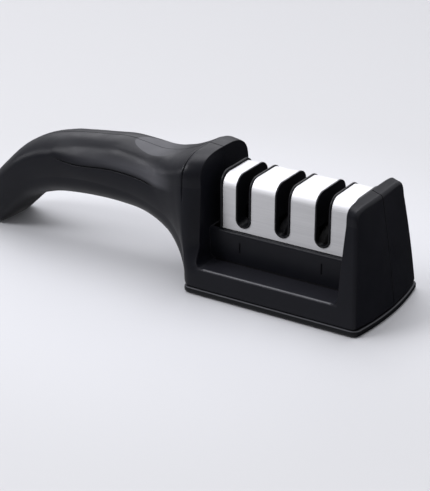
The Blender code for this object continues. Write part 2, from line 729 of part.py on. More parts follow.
def carbide_stage():
    """Two crossed carbide blades, held against a holder block by a clamp and a screw."""
    x0 = SLOT_X[0]
    along = Vector((math.sin(BLADE_LEAN), 0, math.cos(BLADE_LEAN)))
    across = Vector((math.cos(BLADE_LEAN), 0, -math.sin(BLADE_LEAN)))
    nip = Vector((0, 0, BLADE_NIP))
    low = nip - along * BLADE_DOWN
    high = nip + along * BLADE_UP
    corners = (low, high, high + across * BLADE_WIDE, low + across * BLADE_WIDE)
    for word, side in (("front", FRONT), ("rear", REAR)):
        outline = [(x0 - side * p.x, p.z) for p in corners]
        middle = side * BLADE_Y

        def blade(bm):
            add_prism(bm, outline, 1, middle - BLADE_THICK / 2, middle + BLADE_THICK / 2)

        mesh_object(f"carbide_blade_{word}", blade, CARBIDE)

    def holder(bm):
        add_box(bm, (x0 - 6.6 * MM, 2.15 * MM, 13.3 * MM), (x0 + 6.6 * MM, 5.6 * MM, 29.0 * MM))

    def clamp(bm):
        add_box(bm, (x0 - 6.0 * MM, -3.9 * MM, 18.0 * MM), (x0 + 6.0 * MM, -2.15 * MM, 28.8 * MM))

    def screw_hole(bm):
        add_cylinder(bm, PILOT_RADIUS, (x0, -6 * MM, 21 * MM), (x0, 5.0 * MM, 21 * MM), 12)

    hole = mesh_object("cut_clamp_screw_hole", screw_hole)
    boolean(mesh_object("carbide_holder", holder, FRAME_BLACK), hole)
    boolean(mesh_object("carbide_clamp", clamp, SCREW_STEEL), hole)
    screw("carbide_clamp_screw", (x0, -4.1 * MM, 21 * MM), (0, 1, 0), 8.5 * MM, 1.3 * MM)


def turned(name, profile, centre_x, material, sides=32):
    """Turns a closed (x, radius) profile, which runs down its outer side, round the axle."""
    mesh = bpy.data.meshes.new(name)
    edges = [(i, (i + 1) % len(profile)) for i in range(len(profile))]
    mesh.from_pydata([Vector((radius, 0, x)) for x, radius in profile], edges, [])
    made = bpy.data.objects.new(name, mesh)
    PARTS.objects.link(made)
    mesh.materials.append(material)
    turn = made.modifiers.new("turn", "SCREW")
    turn.axis = "Z"
    turn.steps = sides
    turn.render_steps = sides
    turn.use_merge_vertices = True
    turn.merge_threshold = 0.00001
    made.location = (centre_x, 0, AXLE_HEIGHT)
    made.rotation_euler = (0, math.pi / 2, 0)
    return made


def wheel_profile(sign):
    """One bevelled wheel; a pair of them, face to face, makes the V that an edge runs in."""
    bevel = (WHEEL_RADIUS - WHEEL_NIP) * math.tan(WHEEL_BEVEL)
    near = 0.15 * MM
    bore = SLEEVE_RADIUS + 0.2 * MM
    far = SLEEVE_HALF - 0.3 * MM
    outline = [(far, bore), (far, WHEEL_RADIUS), (near + bevel, WHEEL_RADIUS), (near, WHEEL_NIP),
               (near, bore)]
    if sign < 0:
        outline = [(-x, r) for x, r in reversed(outline)]
    return outline


def wheel_stage(word, centre_x, material):
    """An axle, a sleeve that turns on it, and the two wheels that the sleeve carries."""
    def axle(bm):
        add_cylinder(bm, AXLE_RADIUS, (centre_x - AXLE_HALF, 0, AXLE_HEIGHT),
                     (centre_x + AXLE_HALF, 0, AXLE_HEIGHT), 24)

    shade_round(mesh_object(f"{word}_axle", axle, SCREW_STEEL))
    bore = AXLE_RADIUS + 0.2 * MM
    tube = [(SLEEVE_HALF, bore), (SLEEVE_HALF, SLEEVE_RADIUS),
            (-SLEEVE_HALF, SLEEVE_RADIUS), (-SLEEVE_HALF, bore)]
    turned(f"{word}_wheel_sleeve", tube, centre_x, SLEEVE, 24)
    turned(f"{word}_wheel_left", wheel_profile(-1), centre_x, material, 40)
    turned(f"{word}_wheel_right", wheel_profile(1), centre_x, material, 40)


# ---------------------------------------------------------------- screws

def screw(name, seat, direction, length, head_height=HEAD_HEIGHT):
    """A cross-recess screw: its head stands back from the seat, its shank runs on."""
    way = Vector(direction)
    seat = Vector(seat)

    def head(bm):
        add_cylinder(bm, HEAD_RADIUS, seat - way * head_height, seat, 20)

    def shank(bm):
        add_cylinder(bm, SHANK_RADIUS, seat - way * 0.4 * MM, seat + way * length, 16)

    def recess(bm):
        turn = way.to_track_quat("Z", "Y").to_matrix().to_4x4()
        deep = 0.8 * MM
        for size in ((2.4 * MM, 0.6 * MM, 2 * deep), (0.6 * MM, 2.4 * MM, 2 * deep)):
            place = (Matrix.Translation(seat - way * head_height) @ turn
                     @ Matrix.Diagonal((*size, 1.0)))
            bmesh.ops.create_cube(bm, size=1.0, matrix=place)

    made = mesh_object(name, head, SCREW_STEEL)
    boolean(made, mesh_object(f"add_{name}_shank", shank), "UNION")
    cross = boolean(made, mesh_object(f"cut_{name}_recess", recess))
    cross.use_self = True
    return made


def all_screws():
    for number, (x, z, _) in enumerate(SHELL_SCREWS, 1):
        screw(f"shell_screw_{number}", (x, HEAD_SEAT_Y + 0.2 * MM, z), (0, -1, 0), 13.0 * MM)
    number = 0
    for x, y in BASE_SCREWS:
        for side in (FRONT, REAR):
            number += 1
            screw(f"base_screw_{number}", (x, side * y, BASE_SEAT_TOP - 0.2 * MM), (0, 0, 1),
                  6.0 * MM, 1.1 * MM)
    for number, x in enumerate(COVER_SCREW_X, 1):
        screw(f"cassette_screw_{number}", (x, 0, COVER_Z[0] - 0.2 * MM), (0, 0, 1), 8.0 * MM)


# ---------------------------------------------------------------- assembly

body_shell(FRONT, "front")
body_shell(REAR, "rear")
base_plate()
non_slip_pad()
cassette_frame()
steel_cover()
cassette_cover()
carbide_stage()
wheel_stage("diamond", SLOT_X[1], DIAMOND)
wheel_stage("ceramic", SLOT_X[2], CERAMIC)
all_screws()
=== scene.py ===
"""Looks for the three-slot handheld knife sharpener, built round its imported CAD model.

In the CAD's frame, X runs from the handle to the end block, -Y is the front and Z is up.
Every shell that shows is rebuilt here from the same driving shapes as the CAD, much finer,
with its rounded lips, seams, crease and grooves. Shapes are built in millimetres and then
scaled to metres; the shaders read object coordinates, so their limits are in metres.
"""

import math

import bmesh
import bpy
from mathutils import Matrix, Vector


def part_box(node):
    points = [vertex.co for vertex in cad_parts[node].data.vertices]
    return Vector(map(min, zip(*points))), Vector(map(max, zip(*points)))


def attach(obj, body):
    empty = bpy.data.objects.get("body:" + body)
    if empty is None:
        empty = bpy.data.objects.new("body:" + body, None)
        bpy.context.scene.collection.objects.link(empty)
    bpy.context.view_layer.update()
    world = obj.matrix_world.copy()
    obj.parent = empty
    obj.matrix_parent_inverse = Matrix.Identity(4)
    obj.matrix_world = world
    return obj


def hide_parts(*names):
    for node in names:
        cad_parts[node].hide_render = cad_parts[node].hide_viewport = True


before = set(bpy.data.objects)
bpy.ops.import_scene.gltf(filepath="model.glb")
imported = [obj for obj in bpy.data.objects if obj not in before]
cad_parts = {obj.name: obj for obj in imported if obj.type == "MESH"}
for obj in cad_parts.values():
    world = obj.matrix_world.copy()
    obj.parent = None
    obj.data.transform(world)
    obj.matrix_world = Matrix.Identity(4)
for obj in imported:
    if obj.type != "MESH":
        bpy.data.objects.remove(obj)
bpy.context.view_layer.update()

MM = 0.001
FRONT = -1
REAR = 1

# All lengths up to the colours are in millimetres.

# Body section
SHELL_BOTTOM = 3.2
SHOULDER_HEIGHT = 45.5
SIDE_AT_BOTTOM = 28.7
SIDE_AT_SHOULDER = 22.1
SIDE_BULGE = 0.5
ARC_STEPS = 16
SIDE_STEPS = 18
SEAM_HALF = 0.06
SEAM_DEEP = 0.35
SEAM_LIP = 0.30
SEAM_STEP = 0.02
SEAM_SHARE = 0.98
ROUND_CORNER = 5.0
SQUARE_CORNER = 9.0
BOTTOM_EDGE = 0.8
# Where the side is read close under its shoulder; the crease moves the first two
UNDER_SHOULDER = (0.02, 0.40, 0.44)

# Head
UPRIGHT_FACE_X = -36.9
UPRIGHT_DRAFT = 0.055
PINCH_START_X = -46.0
PINCH_END_X = -37.5
PINCH_RISE = 8.0
PINCH = {FRONT: 3.8, REAR: 2.6}
BLOCK_FACE_X = 32.0
BLOCK_TOP_IN = 53.5
BLOCK_TOP_OUT = 52.4
BLOCK_EDGE = 1.6
BLOCK_MIDDLE = 25.0
HEAD_X = (-34.8, -20.0, 0.0, 20.0)
# The end face: the place of its corner, how it leans and curves, its bow, and its inner rings
END_CORNER_X = 41.1
END_CORNER_Z = 4
END_LEAN = 0.075
END_CURVE = 0.0007
END_BOW = 3.9
END_BOW_LOSS = 0.055
END_RINGS = (0.85, 0.7, 0.5, 0.3, 0.12)
LEDGE_HEIGHT = 26.4
TRAY_FLOOR = 12.0
TRAY_CORNER = 3.6
TRAY_FILLET = 0.25
LEDGE_ROUND = 1.5
GAP_MIDDLE = 40.0
GAP_STEPS = 10
TRAY_LIP = 0.4
TRAY_LIP_OUT = 0.35
# Ends of the cutters, clear of the body
ABOVE = 70.0
BELOW = -1.0
OUTSIDE = 36.0
PEDESTAL_SIDE = 14.3
WELL_SIDE = 12.6
WELL_X = (-37.0, 31.6)
UNDERSIDE_LOW = (-39.6, -25.4, 0.0)
UNDERSIDE_HIGH = (37.6, 25.4, 10.2)
SNAP_X = (-22.3, 17.5)
SNAP_HALF = 0.35
SNAP_DEPTHS = (13.8, 16.0)
SNAP_HEIGHTS = (17.0, 22.0)
SCREW_SINK = 2.8
SINK_DEPTHS = (5.0, 45.0)

# Foot
FOOT_SIDE = 29.4
FOOT_X = (-42.8, 42.6)
FOOT_CORNER = 3.8
FOOT_BOW = 2.4
FOOT_LEAST_CORNER = 0.6
FOOT_CORNER_STEPS = 8
FOOT_BOW_STEPS = 10
# Height and inset of the skirt's profile, from its lower edge round to its upper one
SKIRT = ((0.2, 0.9), (0.3, 0.6), (0.5, 0.3), (0.8, 0.1), (1.2, 0.02), (1.6, 0.0), (2.2, 0.03),
         (2.55, 0.10), (2.75, 0.20), (2.90, 0.34), (2.99, 0.52), (3.03, 0.74), (3.05, 1.3))
DECK_LOW = (-39.0, -24.9, 2.0)
DECK_HIGH = (37.0, 24.9, 4.4)
SEAT_TOP = 3.0
POCKET_TOP = 1.5
POCKET_INSET = 4.2
PAD_PROFILE = ((0.0, 5.0), (0.15, 4.65), (0.4, 4.5), (1.3, 4.5))
PAD_RIBS = 24
PAD_RIB_START = -34.5
PAD_RIB_PITCH = 3.0
PAD_RIB_WIDTH = 0.8
PAD_RIB_HEIGHTS = (-0.5, 0.35)
PAD_RIB_HALF = 22.0

# Cassette
SLOT_X = (-21.7, -2.6, 16.5)
SLOT_CLEAR = 5.7
SLOT_RIM = 7.1
SLOT_IN_STEEL = 7.5
SLOT_FLOOR = 29.3
SLOT_TOP = 60.0
SLOT_STEPS = 18
SLOT_RIM_DROP = 0.7
SLOT_STEEL_DROP = 0.9
STEEL_X = (-31.9, 29.6)
STEEL_SIDE = 12.6
STEEL_TOP = 51.1
STEEL_BOTTOM = 26.6
STEEL_SHEET = 0.5
STEEL_SHOULDER = 5.6
STEEL_STEPS = 20
CORE_SIDE = 11.85
CORE_SHOULDER = 5.0
CORE_HEIGHTS = (13.2, 50.3)
CORE_X = (-33.7, 31.2)
FLANGE_SIDE = 13.1
FLANGE_TOP = 52.1
FLANGE_SHOULDER = 6.2
# The flanges, as (x, inset) from face to face
LEFT_FLANGE = ((-33.2, 0.25), (-33.0, 0.0), (-32.3, 0.0), (-32.1, 0.25))
RIGHT_FLANGE = ((29.8, 0.25), (30.0, 0.0), (31.0, 0.0), (31.2, 0.25))
RIM_PROUD = 0.4
RIM_HALF = 6.0
RIM_SHOULDER = 5.9
BUMP_SIDE = 12.15
BUMP_HEIGHTS = (17.3, 21.7)
CHAMBER_HALVES = (7.0, 5.8, 5.8)
CHAMBER_DEPTHS = (6.0, 10.4, 10.4)
CHAMBER_HEIGHTS = (10.0, 36.5)
AXLE_SEAT_REACH = 7.3
AXLE_RADIUS = 1.7
AXLE_HEIGHT = 24.0
WHEEL_RADIUS = 9.6
WHEEL_FACE = 5.9
WHEEL_BORE = 3.05
WHEEL_NEAR = 0.15
WHEEL_BEVEL = 18
WHEEL_BACK = 4.4
WHEEL_CHAMFER = 0.2
# The wheel's crest, as (x past the bevel, inset from the rim)
WHEEL_CREST = ((-0.1, 0.3), (0.15, 0.05), (0.4, 0.0))
SLEEVE_HALF = 4.7
SLEEVE_RADIUS = 2.85
SLEEVE_EDGE = 0.15
SLEEVE_SIDES = 48
THROUGH = 20.0

# Rings of the handle and the upright: crown (x, z), upper side (x, y, z), lower side
# (x, y, z), keel (x, z), and how square the crown and the keel are
HANDLE_RINGS = (
    ((-167.0, 0.0), (-165.2, 9.5, 0.0), (-159.5, 10.5, 0.0), (-157.5, 0.0), 2.2, 2.2),
    ((-168.8, 3.2), (-165.7, 12.8, 2.8), (-157.5, 13.4, 2.2), (-154.9, 1.7), 2.2, 2.2),
    ((-168.6, 12.3), (-162.8, 14.9, 11.9), (-154.5, 14.8, 9.2), (-149.3, 6.4), 2.2, 2.2),
    ((-163.3, 22.2), (-156.8, 15.3, 20.3), (-149.0, 14.9, 15.6), (-143.0, 12.2), 2.2, 2.2),
    ((-154.0, 32.4), (-148.8, 15.3, 27.8), (-142.5, 14.8, 22.2), (-136.7, 16.9), 2.2, 2.2),
    ((-143.7, 41.5), (-139.4, 15.2, 34.2), (-134.5, 14.6, 27.3), (-129.3, 19.7), 2.2, 2.2),
    ((-131.0, 47.3), (-128.0, 15.2, 38.8), (-125.0, 14.4, 30.7), (-121.2, 21.6), 2.2, 2.2),
    ((-114.0, 50.8), (-113.0, 15.2, 40.6), (-111.0, 14.2, 33.0), (-109.0, 22.8), 2.2, 2.2),
    ((-100.0, 52.5), (-99.0, 15.1, 41.1), (-98.0, 14.1, 33.5), (-97.0, 23.3), 2.3, 2.2),
    ((-90.0, 53.6), (-89.0, 15.0, 41.3), (-88.0, 14.2, 33.2), (-86.0, 23.1), 2.4, 2.2),
    ((-80.0, 53.0), (-79.0, 15.2, 41.4), (-77.2, 14.8, 32.3), (-75.6, 22.2), 2.5, 2.2),
    ((-70.0, 51.9), (-69.0, 16.2, 41.8), (-66.2, 16.7, 30.3), (-65.8, 19.9), 2.6, 2.3),
    ((-61.0, 52.9), (-60.0, 18.3, 42.6), (-55.4, 19.7, 27.2), (-56.6, 16.0), 2.7, 2.6),
    ((-54.0, 55.3), (-53.2, 20.4, 44.0), (-47.4, 23.3, 21.0), (-48.9, 10.5), 2.8, 3.2),
    ((-49.5, 57.4), (-49.0, 21.7, 45.0), (-43.4, 26.0, 13.3), (-43.8, 6.0), 2.9, 4.5),
    ((-46.4, 58.85), (-46.4, 22.1, 45.5), (-42.0, 27.4, 6.2), (-42.2, 3.2), 3.0, 7.0),
    ((-42.5, 58.7), (-42.5, 22.1, 45.5), (-39.5, 28.5, 4.4), (-40.0, 3.2), 3.0, 9.0),
    ((-34.8, 58.0), (-34.8, 22.1, 45.5), (-34.8, 28.75, 4.1), (-34.8, 3.2), 3.0, 9.0),
)
STEPS_PER_SPAN = 8
LAST_HANDLE_STEP = 16.8
# The groove before the upright, as (distance before its ring, depth)
COLLAR = 15
COLLAR_SPAN = 3.1
COLLAR_GROOVE = ((1.3, 0.0), (0.9, 0.10), (0.56, 0.26), (0.52, 0.95), (0.10, 0.95), (0.05, 0.10),
                 (-0.10, 0.0))
COLLAR_CLEAR = (0.4, 0.09)
COLLAR_RISE = (38.0, 47.0)

# The thumb rest: its centre along X and its half sizes
THUMB_X = -70.0
THUMB_LONG = 14.8
THUMB_WIDE = 9.0
THUMB_DEEP = 0.32
THUMB_LOWEST = 44
THUMB_FADE = (-73.0, -58.0)

# The side crease, as (x, z) along the front and the rear of the grip
CREASE_START_X = -125.0
CREASE_LENGTH = 65.0
CREASE_BASE_Z = 35.0
CREASE_RISE = 10.0
CREASE_DEEP = 0.75
# Runs along X, as (start of rise, end of rise, start of fall, end of fall)
CREASE_RUN = (-121.5, -117.0, -70.0, -63.5)
SHOULDER_RUN = (-125.0, -120.0, -66.0, -61.0)
HOLLOW_RUN = (-121.0, -108.0, -74.0, -62.0)
# The grip's hollow above the crease: its depths, and where it grows and fades from the crease
HOLLOW_EDGE = 0.12
HOLLOW_DEEP = 0.70
HOLLOW_GROWS = (0.0, 6.0)
HOLLOW_FADES = (5.0, 14.0)
CREASE = ((-121.0, 41.9), (-114.7, 40.9), (-109.0, 40.6), (-102.5, 41.1), (-95.0, 41.9),
          (-90.0, 42.2), (-84.5, 42.1), (-79.0, 41.9), (-73.0, 41.3), (-68.0, 40.5),
          (-64.5, 39.9))

# Colours, linear
PLASTIC_SHINE = 0.22
BODY_DARK = (0.0062, 0.0066, 0.0098)
BODY_LIGHT = (0.0082, 0.0087, 0.0126)
# Painted shade in the side crease and in the tray's inner corner
GROOVE_SHADE = (0.0015, 0.0015, 0.002)
IN_SEAM = (0.0008, 0.0008, 0.001)
# Painted highlight over the grip above the crease
GRIP_HIGHLIGHT = (0.075, 0.0755, 0.084)
# Painted highlight on the thumb patch, which is also made a little rougher
THUMB_HIGHLIGHT = (0.095, 0.096, 0.105)
# Painted reflection that lightens the tray's floor
TRAY_REFLECTION = (0.0185, 0.0190, 0.0240)
# Painted highlight along the tray's lip
TRAY_LIP_HIGHLIGHT = (0.150, 0.151, 0.160)
# Painted highlight along the top edge of the foot's skirt
FOOT_RIM_HIGHLIGHT = (0.085, 0.086, 0.094)
# Painted shade that darkens the steel's flat top
STEEL_TOP_SHADE = (0.45, 0.45, 0.46)

# Studio, in metres and watts. The world's strength eases between two values, each written as
# (first place, last place, value at the first, value at the last): below the horizon by the
# turn towards DARK_SIDE, above it by height, times a factor by depth. HORIZON joins the two.
TINT = (0.955, 0.955, 1.0)
WORLD_BELOW = (-0.2, 0.55, 0.58, 0.02)
WORLD_ABOVE = (0.0, 0.8, 0.26, 0.62)
WORLD_REAR = (-0.5, 0.6, 0.62, 1.45)
HORIZON = (-0.16, 0.0, 0.0, 1.0)
DARK_SIDE = (0.53, 0.85, 0.0)
AIM = (0.0, 0.0, 0.0)
SOFTBOXES = (
    ("main_softbox", (-0.80, 1.50, 3.15), AIM, (2.2, 2.2), 49.0),
    ("back_panel", (-1.45, 2.30, 1.20), AIM, (2.0, 0.9), 8.0),
    ("front_softbox", (-1.37, -1.15, 1.61), AIM, (0.9, 0.9), 21.0),
    ("side_panel", (-1.84, -0.66, 0.60), (0.0, 0.0, 0.03), (0.6, 0.5), 3.5),
    ("top_panel", (-1.45, 0.10, 2.60), AIM, (0.9, 0.9), 9.0),
)
FLOOR_HALF_MM = 4000.0
# Painted light lifting the floor round the object
FLOOR_NEAR_LIGHT = (0.735, 0.741, 0.757)
FLOOR_FAR = (0.650, 0.653, 0.657)
# Painted shade darkening the floor towards the main light
FLOOR_BACK_SHADE = (0.455, 0.457, 0.462)
CAMERA_PLACE = (0.27961, -0.51810, 0.28492)
CAMERA_TILT = 65.8
CAMERA_TURN = 31.97
CAMERA_LENS = 110.07
SENSOR_HEIGHT = 36.0


# ---- mesh helpers

def smoothstep(low, high, value):
    t = min(max((value - low) / (high - low), 0.0), 1.0)
    return t * t * (3 - 2 * t)


def within(run, x):
    """Rises from 0 to 1 and falls back again over the four places of a run."""
    return smoothstep(*run[:2], x) * (1 - smoothstep(*run[2:], x))


def spline(points, at):
    """Reads a Catmull-Rom curve through the points at a whole-and-part index."""
    i = min(int(at), len(points) - 2)
    t = at - i
    p1 = points[i]
    p2 = points[i + 1]
    p0 = points[i - 1] if i > 0 else p1 * 2 - p2
    p3 = points[i + 2] if i + 2 < len(points) else p2 * 2 - p1
    return 0.5 * ((2 * p1) + (p2 - p0) * t + (2 * p0 - 5 * p1 + 4 * p2 - p3) * t * t
                  + (3 * p1 - p0 - 3 * p2 + p3) * t * t * t)


def read_line(table, x):
    """Straight-line reading of a table of (x, value) pairs."""
    for (x0, v0), (x1, v1) in zip(table, table[1:]):
        if x <= x1:
            return v0 + (v1 - v0) * (x - x0) / (x1 - x0)
    return table[-1][1]


def new_object(name, bm):
    """Closes a bmesh, in millimetres, into an object in metres."""
    bmesh.ops.recalc_face_normals(bm, faces=bm.faces)
    bmesh.ops.scale(bm, vec=(MM, MM, MM), verts=bm.verts)
    mesh = bpy.data.meshes.new(name)
    bm.to_mesh(mesh)
    bm.free()
    made = bpy.data.objects.new(name, mesh)
    bpy.context.scene.collection.objects.link(made)
    return made


def add_loft(bm, rings):
    loops = [[bm.verts.new(p) for p in ring] for ring in rings]
    count = len(rings[0])
    for a, b in zip(loops, loops[1:]):
        for i in range(count):
            j = (i + 1) % count
            bm.faces.new((a[i], a[j], b[j], b[i]))
    bm.faces.new(loops[0])
    bm.faces.new(list(reversed(loops[-1])))


def add_prism(bm, outline, axis, stations):
    """Skins an outline of two-coordinate points along one axis, at (place, shrink) stations."""
    middle = sum((Vector(p) for p in outline), Vector((0, 0))) / len(outline)
    rings = []
    for place, shrink in stations:
        ring = []
        for p in outline:
            spoke = Vector(p) - middle
            q = middle + spoke * (1 - shrink / max(spoke.length, 0.001))
            coords = [q.x, q.y]
            coords.insert(axis, place)
            ring.append(Vector(coords))
        rings.append(ring)
    add_loft(bm, rings)


def add_box(bm, low, high):
    size = Vector(high) - Vector(low)
    middle = (Vector(high) + Vector(low)) / 2
    bmesh.ops.create_cube(bm, size=1.0, matrix=Matrix.Translation(middle)
                          @ Matrix.Diagonal((*size, 1.0)))


def add_cylinder(bm, radius, start, end, sides=32):
    start = Vector(start)
    end = Vector(end)
    turn = (end - start).to_track_quat("Z", "Y").to_matrix().to_4x4()
    bmesh.ops.create_cone(bm, cap_ends=True, segments=sides, radius1=radius, radius2=radius,
                          depth=(end - start).length,
                          matrix=Matrix.Translation((start + end) / 2) @ turn)


def built(name, *builders):
    bm = bmesh.new()
    for builder in builders:
        builder(bm)
    return new_object(name, bm)


def settle(piece):
    """Turns a piece's modifiers into its mesh."""
    graph = bpy.context.evaluated_depsgraph_get()
    mesh = bpy.data.meshes.new_from_object(piece.evaluated_get(graph))
    piece.modifiers.clear()
    piece.data = mesh


def carve(piece, steps):
    """Applies (operation, cutter) Boolean steps and removes the cutters."""
    for operation, cutter in steps:
        step = piece.modifiers.new("step", "BOOLEAN")
        step.operation = operation
        step.solver = "EXACT"
        step.object = cutter
    settle(piece)
    for _, cutter in steps:
        bpy.data.objects.remove(cutter, do_unlink=True)


def finish_surface(piece, angle=32):
    """Smooth shading with crisp edges, with broad faces kept flat."""
    for face in piece.data.polygons:
        face.use_smooth = True
    piece.data.set_sharp_from_angle(angle=math.radians(angle))
    weigh = piece.modifiers.new("weigh", "WEIGHTED_NORMAL")
    weigh.weight = 60
    weigh.keep_sharp = True
    settle(piece)


def turned(name, profile, centre_x, sides=72):
    """Turns a closed (x, radius) profile round an axle that runs along X."""
    bm = bmesh.new()
    rings = []
    for k in range(sides):
        a = 2 * math.pi * k / sides
        rings.append([bm.verts.new((centre_x + x, r * math.cos(a), AXLE_HEIGHT + r * math.sin(a)))
                      for x, r in profile])
    for a, b in zip(rings, rings[1:] + rings[:1]):
        for i in range(len(profile)):
            j = (i + 1) % len(profile)
            bm.faces.new((a[i], a[j], b[j], b[i]))
    return new_object(name, bm)


def wear(piece, body, material, slot, *nodes):
    """Gives a piece its material and body, and says which CAD nodes it replaces; the slot is not
    used.
    """
    piece.data.materials.clear()
    piece.data.materials.append(material)
    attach(piece, body)
    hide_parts(*nodes)
    return piece


# ---- material helpers

def set_range(node, begin, end, low, high):
    """Sets the limits of a Map Range node."""
    for key, number in (("From Min", begin), ("From Max", end), ("To Min", low),
                        ("To Max", high)):
        node.inputs[key].default_value = number


class Paint:
    """One procedural material: a Principled shader and the nodes that feed it."""

    def __init__(self, name, color, roughness, metallic=0.0, specular=0.5):
        self.material = bpy.data.materials.new(name)
        self.material.use_nodes = True
        self.tree = self.material.node_tree
        self.shader = self.tree.nodes["Principled BSDF"]
        self.shader.inputs["Base Color"].default_value = (*color, 1.0)
        self.shader.inputs["Roughness"].default_value = roughness
        self.shader.inputs["Metallic"].default_value = metallic
        self.shader.inputs["Specular IOR Level"].default_value = specular
        self.place = self.node("ShaderNodeTexCoord").outputs["Object"]
        self.normal = None

    def node(self, kind, **settings):
        made = self.tree.nodes.new(kind)
        for key, value in settings.items():
            if key in made.inputs:
                made.inputs[key].default_value = value
            else:
                setattr(made, key, value)
        return made

    def link(self, output, node, socket):
        self.tree.links.new(output, node.inputs[socket])

    def stretched(self, scale):
        mapping = self.node("ShaderNodeMapping", Scale=scale)
        self.link(self.place, mapping, "Vector")
        return mapping.outputs["Vector"]

    def noise(self, scale, detail=4.0, stretch=None, roughness=0.55):
        made = self.node("ShaderNodeTexNoise", Scale=scale, Detail=detail, Roughness=roughness)
        self.link(self.stretched(stretch) if stretch else self.place, made, "Vector")
        return made.outputs["Fac"]

    def spread(self, value, low, high, start=0.3, end=0.7):
        """Maps a 0-1 texture value to a range."""
        made = self.node("ShaderNodeMapRange")
        self.link(value, made, "Value")
        set_range(made, start, end, low, high)
        return made.outputs["Result"]

    def smooth(self, value, start, end):
        """Eases from 0 at start to 1 at end; start may be the larger of the two."""
        made = self.node("ShaderNodeMapRange", interpolation_type="SMOOTHSTEP")
        self.link(value, made, "Value")
        set_range(made, *sorted((start, end)), float(start > end), float(start < end))
        return made.outputs["Result"]

    def math(self, operation, a, b=None):
        made = self.node("ShaderNodeMath", operation=operation)
        for socket, value in ((0, a), (1, b)):
            if isinstance(value, (int, float)):
                made.inputs[socket].default_value = value
            elif value is not None:
                self.link(value, made, socket)
        return made.outputs["Value"]

    def product(self, first, *others):
        """Multiplies masks together."""
        for other in others:
            first = self.math("MULTIPLY", first, other)
        return first

    def distance(self, a, b):
        """Length of the flat vector (a, b)."""
        return self.math("SQRT", self.math("ADD", self.product(a, a), self.product(b, b)))

    def mix(self, factor, first, second):
        """Mixes two colours; each is a tuple or a socket."""
        made = self.node("ShaderNodeMix", data_type="RGBA")
        self.link(factor, made, "Factor")
        for socket, value in ((6, first), (7, second)):
            if isinstance(value, tuple):
                made.inputs[socket].default_value = (*value, 1.0)
            else:
                self.tree.links.new(value, made.inputs[socket])
        return made.outputs[2]

    def fed(self, name):
        """What feeds one of the shader's sockets."""
        return self.shader.inputs[name].links[0].from_socket

    def color(self, socket):
        self.link(socket, self.shader, "Base Color")

    def rough(self, socket):
        self.link(socket, self.shader, "Roughness")

    def soften_edges(self, radius):
        made = self.node("ShaderNodeBevel", samples=6)
        made.inputs["Radius"].default_value = radius
        self.normal = made.outputs["Normal"]
        self.link(self.normal, self.shader, "Normal")

    def bump(self, height, strength, distance):
        made = self.node("ShaderNodeBump")
        made.inputs["Strength"].default_value = strength
        made.inputs["Distance"].default_value = distance
        self.link(height, made, "Height")
        if self.normal:
            self.link(self.normal, made, "Normal")
        self.normal = made.outputs["Normal"]
        self.link(self.normal, self.shader, "Normal")

    def coordinates(self):
        made = self.node("ShaderNodeSeparateXYZ")
        self.link(self.place, made, "Vector")
        return made.outputs["X"], made.outputs["Y"], made.outputs["Z"]


def moulded(name, dark, light, roughness, grain, edge, specular=PLASTIC_SHINE):
    """Satin moulded plastic: fine spark-eroded grain, soft mottling and softened edges."""
    paint = Paint(name, dark, roughness, 0.0, specular)
    paint.soften_edges(edge)
    mottle = paint.noise(55.0, 3.0)
    speck = paint.noise(2600.0, 2.0)
    paint.color(paint.mix(paint.spread(paint.math("ADD", paint.math("MULTIPLY", mottle, 0.6),
                                                  paint.math("MULTIPLY", speck, 0.4)), 0.0, 1.0),
                          dark, light))
    paint.rough(paint.spread(paint.noise(140.0, 5.0), roughness - 0.05, roughness + 0.06))
    paint.bump(paint.noise(3400.0, 3.0), grain, 0.00004)
    paint.bump(paint.noise(240.0, 2.0), grain * 0.5, 0.00006)
    return paint


def crease_level(paint, x):
    """Where a point is along the side crease, from 0 to 1, and how high the crease is there."""
    curve = paint.node("ShaderNodeFloatCurve")
    spots = [((px - CREASE_START_X) / CREASE_LENGTH, (pz - CREASE_BASE_Z) / CREASE_RISE)
             for px, pz in CREASE]
    line = curve.mapping.curves[0]
    line.points[0].location = (0.0, spots[0][1])
    line.points[1].location = (1.0, spots[-1][1])
    for spot in spots:
        line.points.new(*spot)
    curve.mapping.update()
    along = paint.math("DIVIDE", paint.math("SUBTRACT", x, CREASE_START_X * MM),
                       CREASE_LENGTH * MM)
    paint.link(along, curve, "Value")
    rise = paint.math("MULTIPLY", curve.outputs["Value"], CREASE_RISE * MM)
    return along, paint.math("ADD", rise, CREASE_BASE_Z * MM)


def grip_masks(paint, x, y, z):
    """Masks for the crease line, painted as shade; the zone above it, painted as a highlight; and
    the oval thumb patch, painted pale as a highlight.
    """
    along, level = crease_level(paint, x)
    above = paint.math("SUBTRACT", z, level)
    out = paint.math("ABSOLUTE", y)
    # Painted shade along the crease line
    near = paint.spread(paint.math("ABSOLUTE", above), 1.0, 0.0, 0.00012, 0.00036)
    crease = paint.product(near, paint.spread(along, 0.0, 1.0, 0.05, 0.14),
                           paint.spread(along, 1.0, 0.0, 0.86, 0.97),
                           paint.spread(out, 0.0, 1.0, 0.0125, 0.0130))
    # Painted highlight over the zone above the crease
    grip = paint.product(paint.spread(above, 0.0, 1.0, 0.0, 0.0022),
                         paint.spread(z, 1.0, 0.0, 0.0455, 0.0500),
                         paint.smooth(x, -0.126, -0.066), paint.smooth(x, -0.051, -0.065))
    # The oval thumb patch, painted pale as a highlight
    long_way = paint.math("DIVIDE", paint.math("SUBTRACT", x, THUMB_X * MM), THUMB_LONG * MM)
    reach = paint.distance(long_way, paint.math("DIVIDE", y, THUMB_WIDE * MM))
    patch = paint.product(paint.spread(reach, 1.0, 0.0, 0.975, 1.005),
                          paint.spread(z, 0.0, 1.0, 0.045, 0.047),
                          paint.spread(x, 1.0, 0.0, -0.073, -0.058))
    return crease, grip, patch


